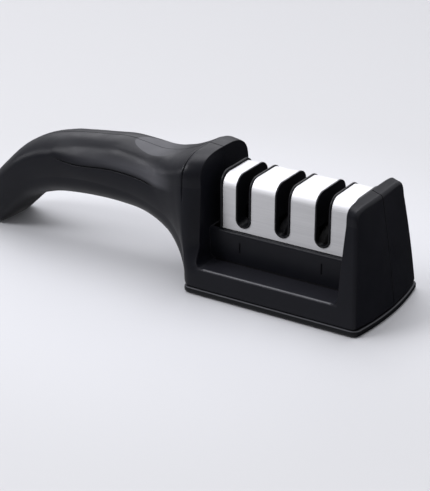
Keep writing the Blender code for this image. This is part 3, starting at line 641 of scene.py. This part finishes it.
def tray_masks(paint, x, y, z):
    """Masks for the tray's floor, painted lighter as a reflection; its inner corner, painted as
    shade; and the fine line along its lip, painted as a highlight.
    """
    out = paint.math("ABSOLUTE", y)
    under = paint.smooth(z, 0.0126, 0.0121)
    level = paint.product(paint.smooth(x, -0.0375, -0.0345), paint.smooth(x, 0.0322, 0.0316),
                          under, paint.smooth(z, 0.0112, 0.0117))
    # Painted reflection on the tray's floor
    tray = paint.product(level, paint.smooth(out, 0.0146, 0.0156))
    # Painted shade in the tray's inner corner
    foot = paint.product(level, paint.smooth(out, 0.0150, 0.0146))
    # Painted highlight along the tray's lip
    lip = paint.product(paint.smooth(x, -0.0335, -0.0325), paint.smooth(x, 0.0292, 0.0282),
                        paint.smooth(z, 0.01165, 0.01182), paint.smooth(out, 0.0263, 0.0267),
                        under)
    return tray, foot, lip


def body_paint():
    """The body plastic, with painted highlights on the grip, the thumb patch and the tray's lip, a
    painted reflection on the tray's floor, painted shade in the crease and the tray's inner
    corner, and the dark seam on the end face.
    """
    paint = moulded("body_plastic", BODY_DARK, BODY_LIGHT, 0.36, 0.30, 0.0004)
    x, y, z = paint.coordinates()
    crease, grip, patch = grip_masks(paint, x, y, z)
    tray, foot, lip = tray_masks(paint, x, y, z)
    seam = paint.product(paint.smooth(paint.math("ABSOLUTE", y), 0.00026, 0.00014),
                         paint.smooth(x, 0.0360, 0.0370))
    tone = paint.fed("Base Color")
    for mask, color in ((grip, GRIP_HIGHLIGHT), (patch, THUMB_HIGHLIGHT), (crease, GROOVE_SHADE),
                        (tray, TRAY_REFLECTION), (foot, GROOVE_SHADE), (seam, IN_SEAM),
                        (lip, TRAY_LIP_HIGHLIGHT)):
        tone = paint.mix(mask, tone, color)
    paint.color(tone)
    duller = paint.math("ADD", paint.math("MULTIPLY", patch, 0.08),
                        paint.math("MULTIPLY", paint.math("MAXIMUM", foot, seam), 0.5))
    paint.rough(paint.math("ADD", paint.fed("Roughness"), duller))
    return paint.material


def base_paint():
    """The foot's plastic, with a painted highlight along the rim that shows under the seam."""
    paint = moulded("base_plastic", (0.0042, 0.0046, 0.0062), (0.0062, 0.0066, 0.0082), 0.42,
                    0.4, 0.00035)
    z = paint.coordinates()[2]
    # Painted highlight along the skirt's upper edge
    rim = paint.product(paint.smooth(z, 0.00260, 0.00285), paint.smooth(z, 0.00306, 0.00296))
    paint.color(paint.mix(rim, paint.fed("Base Color"), FOOT_RIM_HIGHLIGHT))
    return paint.material


def steel_paint():
    """Brushed stainless sheet: long grain along X in colour, roughness and bump, and painted shade
    on the flat top.
    """
    paint = Paint("brushed_steel", (0.70, 0.70, 0.71), 0.38, 0.95)
    paint.shader.inputs["Anisotropic"].default_value = 0.8
    across = paint.node("ShaderNodeTangent", direction_type="RADIAL", axis="X")
    paint.link(across.outputs["Tangent"], paint.shader, "Tangent")
    paint.soften_edges(0.00022)
    grain = paint.noise(1.0, 6.0, (60.0, 5200.0, 5200.0), 0.7)
    streak = paint.noise(1.0, 4.0, (14.0, 900.0, 900.0), 0.6)
    both = paint.math("ADD", paint.math("MULTIPLY", grain, 0.6),
                      paint.math("MULTIPLY", streak, 0.4))
    brushed = paint.mix(paint.spread(both, 0.0, 1.0), (0.64, 0.64, 0.65), (0.80, 0.80, 0.81))
    # Painted shade: the flat top is darkened to keep it from whitening out
    top = paint.math("MULTIPLY", paint.smooth(paint.coordinates()[2], 0.0503, 0.0510), 0.5)
    paint.color(paint.mix(top, brushed, STEEL_TOP_SHADE))
    paint.rough(paint.spread(both, 0.42, 0.52))
    paint.bump(grain, 0.35, 0.00002)
    return paint.material


def rubber_paint():
    paint = Paint("pad_rubber", (0.016, 0.016, 0.018), 0.82)
    cells = paint.node("ShaderNodeTexVoronoi", Scale=700.0)
    paint.link(paint.place, cells, "Vector")
    paint.color(paint.mix(paint.spread(paint.noise(90.0), 0.0, 1.0), (0.012, 0.012, 0.014),
                          (0.026, 0.026, 0.028)))
    paint.rough(paint.spread(paint.noise(400.0), 0.72, 0.92))
    paint.bump(cells.outputs["Distance"], 0.6, 0.0002)
    return paint.material


def plated_paint():
    paint = Paint("plated_steel", (0.48, 0.48, 0.50), 0.33, 1.0)
    paint.soften_edges(0.00012)
    paint.color(paint.mix(paint.spread(paint.noise(600.0), 0.0, 1.0), (0.38, 0.38, 0.40),
                          (0.56, 0.56, 0.57)))
    paint.rough(paint.spread(paint.noise(1500.0), 0.26, 0.46))
    paint.bump(paint.noise(2500.0), 0.25, 0.00003)
    return paint.material


def carbide_paint():
    paint = Paint("tungsten_carbide", (0.24, 0.24, 0.25), 0.30, 1.0)
    paint.soften_edges(0.0001)
    grind = paint.noise(1.0, 5.0, (4000.0, 60.0, 4000.0), 0.7)
    paint.color(paint.mix(paint.spread(grind, 0.0, 1.0), (0.17, 0.17, 0.18), (0.32, 0.32, 0.33)))
    paint.rough(paint.spread(grind, 0.24, 0.42))
    paint.bump(grind, 0.3, 0.00002)
    return paint.material


def grit_paint(name, dark, light, roughness, metallic, size):
    """Bonded abrasive: close-packed grains that catch the light one by one."""
    paint = Paint(name, dark, roughness, metallic)
    cells = paint.node("ShaderNodeTexVoronoi", Scale=size)
    paint.link(paint.place, cells, "Vector")
    grains = paint.node("ShaderNodeSeparateXYZ")
    paint.link(cells.outputs["Color"], grains, "Vector")
    paint.color(paint.mix(grains.outputs["X"], dark, light))
    paint.rough(paint.spread(grains.outputs["Y"], roughness - 0.18, roughness + 0.1, 0.0, 1.0))
    paint.bump(cells.outputs["Distance"], 0.7, 0.00008)
    return paint.material


def floor_paint():
    """A pale sweep, with painted light that makes it lighter round the object and painted shade
    that makes it darker towards the main light.
    """
    paint = Paint("floor", (0.78, 0.79, 0.80), 0.62, 0.0, 0.25)
    x, y, _ = paint.coordinates()
    # Painted shade: darker with depth towards the main light
    depth = paint.math("SUBTRACT", y, paint.math("MULTIPLY", x, 0.3))
    shade = paint.math("ADD", paint.spread(depth, 0.0, 1.0, 0.10, 1.5),
                       paint.math("MULTIPLY", paint.noise(3.0, 2.0), 0.01))
    # Painted light: lighter round the object
    reach = paint.distance(paint.math("ADD", x, 0.06), y)
    paint.color(paint.mix(paint.smooth(reach, 0.20, 0.06),
                          paint.mix(shade, FLOOR_FAR, FLOOR_BACK_SHADE), FLOOR_NEAR_LIGHT))
    return paint.material


# ---- body shells

def side_point(upper, lower, part):
    point = upper.lerp(lower, part)
    return point + Vector((0, SIDE_BULGE * 4 * part * (1 - part), 0))


def half_ring(crown, upper, lower, keel, crown_square, keel_square):
    """One half of a section, from its crown down its side to its keel."""
    ring = []
    for k in range(ARC_STEPS + 1):
        a = math.pi / 2 * (1 - k / ARC_STEPS)
        out = math.cos(a) ** (2 / crown_square) if k else 0.0
        rise = math.sin(a) ** (2 / crown_square) if k < ARC_STEPS else 0.0
        point = upper.lerp(crown, rise)
        ring.append(Vector((point.x, upper.y * out, point.z)))
    length = (lower - upper).length
    for reach in UNDER_SHOULDER:
        ring.append(side_point(upper, lower, reach / length))
    for k in range(1, SIDE_STEPS):
        ring.append(side_point(upper, lower, k / SIDE_STEPS))
    for k in range(ARC_STEPS + 1):
        a = math.pi / 2 * k / ARC_STEPS
        out = math.cos(a) ** (2 / keel_square) if k < ARC_STEPS else 0.0
        drop = math.sin(a) ** (2 / keel_square) if k else 0.0
        point = lower.lerp(keel, drop)
        ring.append(Vector((point.x, lower.y * out, point.z)))
    return ring


def upright_face_x(z):
    return UPRIGHT_FACE_X - UPRIGHT_DRAFT * (z - TRAY_FLOOR)


def pinched(p, depth):
    """The upright narrows towards its inner face, except down at the tray."""
    along = min(max((p.x - PINCH_START_X) / (PINCH_END_X - PINCH_START_X), 0.0), 1.0)
    above = min(max((p.z - TRAY_FLOOR) / PINCH_RISE, 0.0), 1.0)
    middle = min(p.y / SIDE_AT_SHOULDER, 1.0)
    return Vector((p.x, p.y - depth * along ** 2 * above * middle, p.z))


def creased(ring):
    """Hollows the grip above the side crease, and cuts the crease itself as a fine groove."""
    edge = ring[ARC_STEPS]
    weight = within(HOLLOW_RUN, edge.x)
    groove = within(CREASE_RUN, edge.x)
    moved = []
    for k, p in enumerate(ring):
        if k <= ARC_STEPS:
            span = (p - edge).length
            hollow = HOLLOW_EDGE + HOLLOW_DEEP * smoothstep(*HOLLOW_GROWS, span)
            hollow *= 1 - smoothstep(*HOLLOW_FADES, span)
            p = p - Vector((0, hollow * weight, 0))
        elif k <= ARC_STEPS + 2:
            p = p - Vector((0, CREASE_DEEP * groove, 0))
        moved.append(p)
    return moved


def scooped(ring):
    """A shallow thumb rest in the top of the neck."""
    moved = []
    for p in ring:
        reach = math.hypot((p.x - THUMB_X) / THUMB_LONG, p.y / THUMB_WIDE)
        if reach < 1 and p.z > THUMB_LOWEST:
            fade = 1 - smoothstep(*THUMB_FADE, p.x)
            p = p - Vector((0, 0, THUMB_DEEP * math.sqrt(1 - reach * reach) * fade))
        moved.append(p)
    return moved


def sunk(ring, depth):
    """Sinks the upper part of a ring towards its middle."""
    middle = (ring[0] + ring[-1]) / 2
    moved = []
    for p in ring:
        spoke = p - middle
        share = depth * smoothstep(*COLLAR_RISE, p.z)
        moved.append(middle + spoke * (1 - share / spoke.length))
    return moved


def handle_steps():
    """Where rings are read along the handle, with the depth that each is sunk."""
    steps = []
    for k in range(int(LAST_HANDLE_STEP * STEPS_PER_SPAN) + 1):
        at = k / STEPS_PER_SPAN
        if not COLLAR - COLLAR_CLEAR[0] < at < COLLAR + COLLAR_CLEAR[1]:
            steps.append((at, 0.0))
    steps += [(COLLAR - before / COLLAR_SPAN, depth) for before, depth in COLLAR_GROOVE]
    return sorted(steps)


def handle_rings(side):
    crowns = [Vector((r[0][0], 0, r[0][1])) for r in HANDLE_RINGS]
    uppers = [Vector(r[1]) for r in HANDLE_RINGS]
    lowers = [Vector(r[2]) for r in HANDLE_RINGS]
    keels = [Vector((r[3][0], 0, r[3][1])) for r in HANDLE_RINGS]
    squares = [Vector((r[4], r[5], 0)) for r in HANDLE_RINGS]
    rings = []
    for at, depth in handle_steps():
        upper = spline(uppers, at)
        on_crease = within(SHOULDER_RUN, upper.x)
        if on_crease:
            upper.z += (read_line(CREASE, upper.x) - upper.z) * on_crease
        square = spline(squares, at)
        ring = half_ring(spline(crowns, at), upper, spline(lowers, at), spline(keels, at),
                         square.x, square.y)
        ring = scooped(creased([pinched(p, PINCH[side]) for p in ring]))
        rings.append(sunk(ring, depth) if depth else ring)
    return rings


def end_face_x(y, z):
    rise = z - END_CORNER_Z
    corner = END_CORNER_X - END_LEAN * rise - END_CURVE * rise ** 2
    bow = END_BOW - END_BOW_LOSS * z
    side = SIDE_AT_BOTTOM + (SIDE_AT_SHOULDER - SIDE_AT_BOTTOM) * z / SHOULDER_HEIGHT
    return corner + bow * (1 - (y / side) ** 2)


def block_ring(x, top):
    crown = Vector((x, 0, top))
    upper = Vector((x, SIDE_AT_SHOULDER, SHOULDER_HEIGHT))
    lower = Vector((x, SIDE_AT_BOTTOM, SHELL_BOTTOM + BOTTOM_EDGE))
    keel = Vector((x, 0, SHELL_BOTTOM))
    return half_ring(crown, upper, lower, keel, ROUND_CORNER, SQUARE_CORNER)


def head_rings():
    """Rings along the head and round the edges of the end face."""
    rings = [block_ring(x, BLOCK_TOP_IN) for x in (*HEAD_X, BLOCK_FACE_X)]
    rim = block_ring(BLOCK_FACE_X, BLOCK_TOP_OUT)
    centre = Vector((0, 0, BLOCK_MIDDLE))
    for turn in range(0, 91, 15):
        a = math.radians(turn)
        inset = BLOCK_EDGE * (1 - math.cos(a))
        back = BLOCK_EDGE * (1 - math.sin(a))
        ring = []
        for p in rim:
            flat = Vector((0, p.y, p.z)) - centre
            moved = centre + flat * (1 - inset / max(flat.length, BLOCK_EDGE))
            moved.z = max(moved.z, SHELL_BOTTOM)
            ring.append(Vector((end_face_x(moved.y, moved.z) - back, moved.y, moved.z)))
        rings.append(ring)
    edge = rings[-1]
    for shrink in END_RINGS:
        ring = []
        for p in edge:
            moved = centre + (Vector((0, p.y, p.z)) - centre) * shrink
            ring.append(Vector((end_face_x(moved.y, moved.z), moved.y, moved.z)))
        rings.append(ring)
    return rings, len(rings) - len(END_RINGS)


def seamed(ring, side, inward):
    """Closes a half ring on the parting plane with a fine V where the halves meet."""
    closed = []
    for end, beside, way in ((ring[0], ring[1], inward[0]), (ring[-1], ring[-2], inward[1])):
        lip = end.lerp(beside, min(SEAM_LIP / max(beside.y - end.y, SEAM_LIP), 1.0) * SEAM_SHARE)
        root = Vector((end.x, SEAM_HALF, end.z)) + way * SEAM_DEEP
        root.z = max(root.z, 0.0)
        closed.append((root, Vector((lip.x, max(lip.y, SEAM_HALF + SEAM_STEP), lip.z))))
    inner = [Vector((p.x, max(p.y, SEAM_HALF + SEAM_STEP), p.z)) for p in ring[1:-1]]
    points = [closed[0][0], closed[0][1], *inner, closed[1][1], closed[1][0]]
    return [Vector((p.x, side * p.y, p.z)) for p in points]


def body_solid(bm, side):
    down = Vector((0, 0, -1))
    up = Vector((0, 0, 1))
    handle = [seamed(ring, side, (down, up)) for ring in handle_rings(side)]
    rings, first_end = head_rings()
    head = []
    for k, ring in enumerate(rings):
        if k < first_end:
            head.append(seamed(ring, side, (down, up)))
        else:
            head.append(seamed(ring, side, (Vector((-1, 0, 0)), Vector((-1, 0, 0)))))
    add_loft(bm, [*handle, *head])


def gap_outline(floor, corner, grow=0.0):
    """Front view of the space between the upright and the end block, over one floor."""
    left = upright_face_x(floor + corner)
    outline = [(upright_face_x(ABOVE), ABOVE), (upright_face_x(GAP_MIDDLE), GAP_MIDDLE)]
    for middle, start in ((left + corner, 180), (BLOCK_FACE_X - corner, 270)):
        for k in range(GAP_STEPS + 1):
            a = math.radians(start + 90 * k / GAP_STEPS)
            drop = max(-math.sin(a), 0.0)
            radius = corner + grow * drop
            outline.append((middle + corner * math.cos(a), floor + corner + radius * math.sin(a)))
    return [*outline, (BLOCK_FACE_X, GAP_MIDDLE), (BLOCK_FACE_X, ABOVE)]


def quarter(steps, last=90):
    """Traces a rounded edge of radius 1: what is left to run outwards, and how far it fell."""
    turns = [math.radians(last * k / steps) for k in range(steps + 1)]
    return [(1 - math.sin(a), 1 - math.cos(a)) for a in turns]


def tray_cutter(side, word):
    """The window and the tray, with the tray's lip rounded over and its inner foot filleted."""
    def window(bm):
        slope = (SIDE_AT_SHOULDER - SIDE_AT_BOTTOM) / SHOULDER_HEIGHT
        lip = SIDE_AT_BOTTOM + slope * TRAY_FLOOR + TRAY_LIP_OUT
        levels = [(BELOW, gap_outline(LEDGE_HEIGHT, 0.0))]
        for back, down in quarter(6):
            levels.append((PEDESTAL_SIDE - LEDGE_ROUND * back,
                           gap_outline(LEDGE_HEIGHT - LEDGE_ROUND * down, 0.0)))
        for back, down in quarter(4):
            levels.append((PEDESTAL_SIDE + TRAY_FILLET * down,
                           gap_outline(TRAY_FLOOR, TRAY_CORNER, -TRAY_FILLET * back)))
        for back, down in quarter(4, 80):
            levels.append((lip - TRAY_LIP * back,
                           gap_outline(TRAY_FLOOR, TRAY_CORNER, TRAY_LIP * down)))
        levels.append((OUTSIDE, gap_outline(TRAY_FLOOR, TRAY_CORNER, TRAY_LIP)))
        add_loft(bm, [[Vector((x, side * y, z)) for x, z in outline] for y, outline in levels])
        bmesh.ops.remove_doubles(bm, verts=bm.verts, dist=0.001)

    return built(f"cut_window_{word}", window)


def node_middle(name):
    """The middle of a CAD node's box, in millimetres."""
    low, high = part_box(name)
    return [(a + b) / 2 / MM for a, b in zip(low, high)]


def body_shell(side, word):
    shell = built(f"{word}_body_shell", lambda bm: body_solid(bm, side))
    well = built("cut_well", lambda bm: add_box(bm, (WELL_X[0], -WELL_SIDE, BELOW),
                                                (WELL_X[1], WELL_SIDE, LEDGE_HEIGHT + 1)))
    hollow = built("cut_hollow", lambda bm: add_box(bm, UNDERSIDE_LOW, UNDERSIDE_HIGH))

    def snaps(bm):
        for x in SNAP_X:
            ends = sorted(side * depth for depth in SNAP_DEPTHS)
            add_box(bm, (x - SNAP_HALF, ends[0], SNAP_HEIGHTS[0]),
                    (x + SNAP_HALF, ends[1], SNAP_HEIGHTS[1]))

    steps = [("DIFFERENCE", tray_cutter(side, word)), ("DIFFERENCE", well), ("DIFFERENCE", hollow),
             ("DIFFERENCE", built("cut_snaps", snaps))]
    if side == REAR:
        def sinks(bm):
            for number in range(1, 5):
                x, _, z = node_middle(f"shell_screw_{number}")
                add_cylinder(bm, SCREW_SINK, *((x, depth, z) for depth in SINK_DEPTHS))

        steps.append(("DIFFERENCE", built("cut_sinks", sinks)))
    carve(shell, steps)
    finish_surface(shell)
    return shell


# ---- base

def base_outline(inset):
    """Plan of the base: round corners, and a right end that bows outwards."""
    corner = max(FOOT_CORNER - inset, FOOT_LEAST_CORNER)
    side = FOOT_SIDE - inset
    left = FOOT_X[0] + inset
    right = FOOT_X[1] - inset
    outline = []
    for sign_x, sign_y, start in ((-1, -1, 180), (1, -1, 270), (1, 1, 0), (-1, 1, 90)):
        x = left + corner if sign_x < 0 else right - corner
        y = sign_y * (side - corner)
        for k in range(FOOT_CORNER_STEPS + 1):
            a = math.radians(start + 90 * k / FOOT_CORNER_STEPS)
            outline.append((x + corner * math.cos(a), y + corner * math.sin(a)))
        if sign_x > 0 and sign_y < 0:
            for k in range(1 - FOOT_BOW_STEPS, FOOT_BOW_STEPS):
                part = k / FOOT_BOW_STEPS
                outline.append((right + FOOT_BOW * (1 - part * part), part * (side - corner)))
    return outline


def foot_loft(bm, profile):
    add_loft(bm, [[Vector((x, y, z)) for x, y in base_outline(inset)] for z, inset in profile])


def base_plate():
    def seats(bm):
        for number in range(1, 5):
            x, y, _ = node_middle(f"base_screw_{number}")
            add_cylinder(bm, SCREW_SINK, (x, y, 0), (x, y, SEAT_TOP))

    pocket = ((BELOW, POCKET_INSET), (POCKET_TOP, POCKET_INSET))
    plate = built("foot_plate", lambda bm: foot_loft(bm, SKIRT))
    carve(plate, [
        ("UNION", built("add_deck", lambda bm: add_box(bm, DECK_LOW, DECK_HIGH))),
        ("DIFFERENCE", built("cut_pocket", lambda bm: foot_loft(bm, pocket))),
        ("DIFFERENCE", built("cut_seats", seats)),
    ])
    finish_surface(plate)
    return plate


def grip_pad():
    """The rubber pad, with a rounded edge and fine ribs across its face."""
    def ribs(bm):
        for k in range(PAD_RIBS):
            x = PAD_RIB_START + PAD_RIB_PITCH * k
            add_box(bm, (x, -PAD_RIB_HALF, PAD_RIB_HEIGHTS[0]),
                    (x + PAD_RIB_WIDTH, PAD_RIB_HALF, PAD_RIB_HEIGHTS[1]))

    pad = built("grip_pad", lambda bm: foot_loft(bm, PAD_PROFILE))
    carve(pad, [("DIFFERENCE", built("cut_ribs", ribs))])
    finish_surface(pad)
    return pad


# ---- cassette

def arch_outline(side, bottom, top, shoulder, steps=12):
    outline = [(-side, bottom)]
    for k in range(steps + 1):
        a = math.pi - math.pi / 2 * k / steps
        outline.append((-side + shoulder * (1 + math.cos(a)),
                        top - shoulder * (1 - math.sin(a))))
    for k in range(steps + 1):
        a = math.pi / 2 - math.pi / 2 * k / steps
        outline.append((side - shoulder * (1 - math.cos(a)),
                        top - shoulder * (1 - math.sin(a))))
    outline.append((side, bottom))
    return outline


def slot_outline(x, width, floor, top):
    radius = width / 2
    outline = [(x + radius, top), (x - radius, top)]
    for k in range(SLOT_STEPS + 1):
        a = math.pi + math.pi * k / SLOT_STEPS
        outline.append((x + radius * math.cos(a), floor + radius * (1 + math.sin(a))))
    return outline


def slot_prism(bm, x, width, floor):
    add_prism(bm, slot_outline(x, width, floor, SLOT_TOP), 1, ((-THROUGH, 0.0), (THROUGH, 0.0)))


def slots_cutter(name, width, floor):
    def slots(bm):
        for x in SLOT_X:
            slot_prism(bm, x, width, floor)

    return built(name, slots)


def slot_rim(x):
    """The collar round one slot, which stands just proud of the steel."""
    arch = arch_outline(STEEL_SIDE + RIM_PROUD, STEEL_BOTTOM, STEEL_TOP + RIM_PROUD,
                        RIM_SHOULDER)
    rim = built("rim", lambda bm: add_prism(bm, arch, 0, ((x - RIM_HALF, 0.0),
                                                          (x + RIM_HALF, 0.0))))
    sides = built("rim_sides", lambda bm: slot_prism(bm, x, SLOT_RIM, SLOT_FLOOR - SLOT_RIM_DROP))
    carve(rim, [("INTERSECT", sides)])
    return rim


def cassette_carrier():
    """The black carrier: core, end flanges, slot rims, chambers and axle seats."""
    core_arch = arch_outline(CORE_SIDE, *CORE_HEIGHTS, CORE_SHOULDER)
    flange = arch_outline(FLANGE_SIDE, STEEL_BOTTOM, FLANGE_TOP, FLANGE_SHOULDER)

    def core(bm):
        add_prism(bm, core_arch, 0, [(x, 0.0) for x in CORE_X])

    def left_flange(bm):
        add_prism(bm, flange, 0, LEFT_FLANGE)

    def right_flange(bm):
        add_prism(bm, flange, 0, RIGHT_FLANGE)

    def snap_bumps(bm):
        for x in SNAP_X:
            add_box(bm, (x - SNAP_HALF, -BUMP_SIDE, BUMP_HEIGHTS[0]),
                    (x + SNAP_HALF, BUMP_SIDE, BUMP_HEIGHTS[1]))

    def chambers(bm):
        for x, half, deep in zip(SLOT_X, CHAMBER_HALVES, CHAMBER_DEPTHS):
            add_box(bm, (x - half, -deep, CHAMBER_HEIGHTS[0]),
                    (x + half, deep, CHAMBER_HEIGHTS[1]))

    def axle_seats(bm):
        for x in SLOT_X[1:]:
            add_box(bm, (x - AXLE_SEAT_REACH, -AXLE_RADIUS, CHAMBER_HEIGHTS[0]),
                    (x + AXLE_SEAT_REACH, AXLE_RADIUS, AXLE_HEIGHT + AXLE_RADIUS))

    carrier = built("cassette_carrier", core)
    steps = [("UNION", built("add_left", left_flange)),
             ("UNION", built("add_right", right_flange)),
             ("UNION", built("add_bumps", snap_bumps))]
    steps += [("UNION", slot_rim(x)) for x in SLOT_X]
    steps += [("DIFFERENCE", slots_cutter("cut_slots", SLOT_CLEAR, SLOT_FLOOR)),
              ("DIFFERENCE", built("cut_chambers", chambers)),
              ("DIFFERENCE", built("cut_seats", axle_seats))]
    carve(carrier, steps)
    finish_surface(carrier)
    return carrier


def steel_sheet():
    """The bent steel cover, open along the slots."""
    outer = arch_outline(STEEL_SIDE, STEEL_BOTTOM, STEEL_TOP, STEEL_SHOULDER, STEEL_STEPS)
    inner = arch_outline(STEEL_SIDE - STEEL_SHEET, STEEL_BOTTOM, STEEL_TOP - STEEL_SHEET,
                         STEEL_SHOULDER - STEEL_SHEET, STEEL_STEPS)
    outline = outer + list(reversed(inner))

    def sheet(bm):
        add_loft(bm, [[Vector((x, y, z)) for y, z in outline] for x in STEEL_X])

    cover = built("steel_sheet", sheet)
    slots = slots_cutter("cut_steel", SLOT_IN_STEEL, SLOT_FLOOR - SLOT_STEEL_DROP)
    carve(cover, [("DIFFERENCE", slots)])
    finish_surface(cover)
    return cover


def wheel(name, centre_x, sign):
    """An abrasive disc whose face slopes away from the slot's middle."""
    bevel = (WHEEL_RADIUS - WHEEL_FACE) * math.tan(math.radians(WHEEL_BEVEL))
    crest = WHEEL_NEAR + bevel
    profile = [(WHEEL_NEAR, WHEEL_BORE), (WHEEL_NEAR, WHEEL_FACE),
               *((crest + past, WHEEL_RADIUS - inset) for past, inset in WHEEL_CREST),
               (WHEEL_BACK - WHEEL_CHAMFER, WHEEL_RADIUS),
               (WHEEL_BACK, WHEEL_RADIUS - WHEEL_CHAMFER), (WHEEL_BACK, WHEEL_BORE)]
    piece = turned(name, [(sign * x, r) for x, r in profile], centre_x)
    finish_surface(piece)
    return piece


def sleeve(name, centre_x):
    low = SLEEVE_RADIUS - SLEEVE_EDGE
    inner = SLEEVE_HALF - SLEEVE_EDGE
    profile = [(-SLEEVE_HALF, AXLE_RADIUS), (-SLEEVE_HALF, low), (-inner, SLEEVE_RADIUS),
               (inner, SLEEVE_RADIUS), (SLEEVE_HALF, low), (SLEEVE_HALF, AXLE_RADIUS)]
    piece = turned(name, profile, centre_x, SLEEVE_SIDES)
    finish_surface(piece)
    return piece


# ---- assembly

BODY = body_paint()
BASE = base_paint()
CARRIER = moulded("carrier_plastic", (0.0040, 0.0042, 0.0060), (0.0062, 0.0065, 0.0088), 0.36,
                  0.25, 0.0003).material
NYLON = moulded("sleeve_nylon", (0.075, 0.075, 0.08), (0.11, 0.11, 0.115), 0.5, 0.3,
                0.0001).material
STEEL = steel_paint()
RUBBER = rubber_paint()
PLATED = plated_paint()
CARBIDE = carbide_paint()
DIAMOND = grit_paint("diamond_grit", (0.018, 0.018, 0.02), (0.060, 0.060, 0.063), 0.65, 0.2,
                     4500.0)
CERAMIC = grit_paint("grey_ceramic", (0.030, 0.030, 0.030), (0.048, 0.048, 0.047), 0.7, 0.0,
                     7000.0)

wear(body_shell(FRONT, "front"), "body", BODY, "body_black", "body_front_shell")
wear(body_shell(REAR, "rear"), "body", BODY, "body_black", "body_rear_shell")
wear(base_plate(), "body", BASE, "base_black", "base_plate")
wear(grip_pad(), "body", RUBBER, "pad_rubber", "non_slip_pad")
wear(cassette_carrier(), "cassette", CARRIER, "frame_black", "cassette_frame")
wear(steel_sheet(), "cassette", STEEL, "brushed_steel", "steel_cover")
for word, centre, grit, slot in (("diamond", SLOT_X[1], DIAMOND, "diamond_grit"),
                                 ("ceramic", SLOT_X[2], CERAMIC, "grey_ceramic")):
    ride = f"{word}_wheels"
    wear(sleeve(f"{word}_sleeve", centre), ride, NYLON, "sleeve_nylon", f"{word}_wheel_sleeve")
    for hand, sign in (("left", -1), ("right", 1)):
        wear(wheel(f"{word}_disc_{hand}", centre, sign), ride, grit, slot, f"{word}_wheel_{hand}")

CAD_FINISHES = {"carbide_holder": CARRIER, "cassette_bottom_cover": CARRIER,
                "carbide_blade_front": CARBIDE, "carbide_blade_rear": CARBIDE}
for name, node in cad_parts.items():
    finish = CAD_FINISHES.get(name, PLATED)
    for place in node.material_slots:
        place.material = finish


# ---- studio

def area_light(name, place, aim, size, power):
    data = bpy.data.lights.new(name, "AREA")
    data.shape = "RECTANGLE"
    data.size, data.size_y = size
    data.energy = power
    data.color = TINT
    lamp = bpy.data.objects.new(name, data)
    lamp.location = place
    lamp.rotation_euler = (Vector(aim) - Vector(place)).to_track_quat("-Z", "Y").to_euler()
    bpy.context.scene.collection.objects.link(lamp)


def room():
    """A plain grey room, paler overhead and behind, and dark low down on its DARK_SIDE."""
    world = bpy.data.worlds.new("studio")
    bpy.context.scene.world = world
    world.use_nodes = True
    nodes = world.node_tree.nodes
    links = world.node_tree.links

    def ranged(source, limits):
        node = nodes.new("ShaderNodeMapRange")
        node.interpolation_type = "SMOOTHSTEP"
        set_range(node, *limits)
        links.new(source, node.inputs["Value"])
        return node.outputs["Result"]

    toward = nodes.new("ShaderNodeTexCoord").outputs["Generated"]
    height = nodes.new("ShaderNodeSeparateXYZ")
    links.new(toward, height.inputs["Vector"])
    around = nodes.new("ShaderNodeVectorMath")
    around.operation = "DOT_PRODUCT"
    around.inputs[1].default_value = DARK_SIDE
    links.new(toward, around.inputs[0])
    below = ranged(around.outputs["Value"], WORLD_BELOW)
    above = nodes.new("ShaderNodeMath")
    above.operation = "MULTIPLY"
    links.new(ranged(height.outputs["Z"], WORLD_ABOVE), above.inputs[0])
    links.new(ranged(height.outputs["Y"], WORLD_REAR), above.inputs[1])
    level = nodes.new("ShaderNodeMix")
    links.new(ranged(height.outputs["Z"], HORIZON), level.inputs["Factor"])
    links.new(below, level.inputs["A"])
    links.new(above.outputs["Value"], level.inputs["B"])
    background = nodes["Background"]
    background.inputs["Color"].default_value = (*TINT, 1.0)
    links.new(level.outputs["Result"], background.inputs["Strength"])


def studio():
    floor = built("floor", lambda bm: bmesh.ops.create_grid(bm, x_segments=4, y_segments=4,
                                                            size=FLOOR_HALF_MM))
    floor.data.materials.append(floor_paint())
    floor.visible_glossy = False
    room()
    for softbox in SOFTBOXES:
        area_light(*softbox)
    bpy.context.scene.view_settings.view_transform = "Standard"


def camera():
    data = bpy.data.cameras.new("camera")
    data.sensor_fit = "VERTICAL"
    data.sensor_height = SENSOR_HEIGHT
    data.lens = CAMERA_LENS
    seat = bpy.data.objects.new("camera", data)
    seat.location = CAMERA_PLACE
    seat.rotation_euler = (math.radians(CAMERA_TILT), 0.0, math.radians(CAMERA_TURN))
    bpy.context.scene.collection.objects.link(seat)
    bpy.context.scene.camera = seat


studio()
camera()
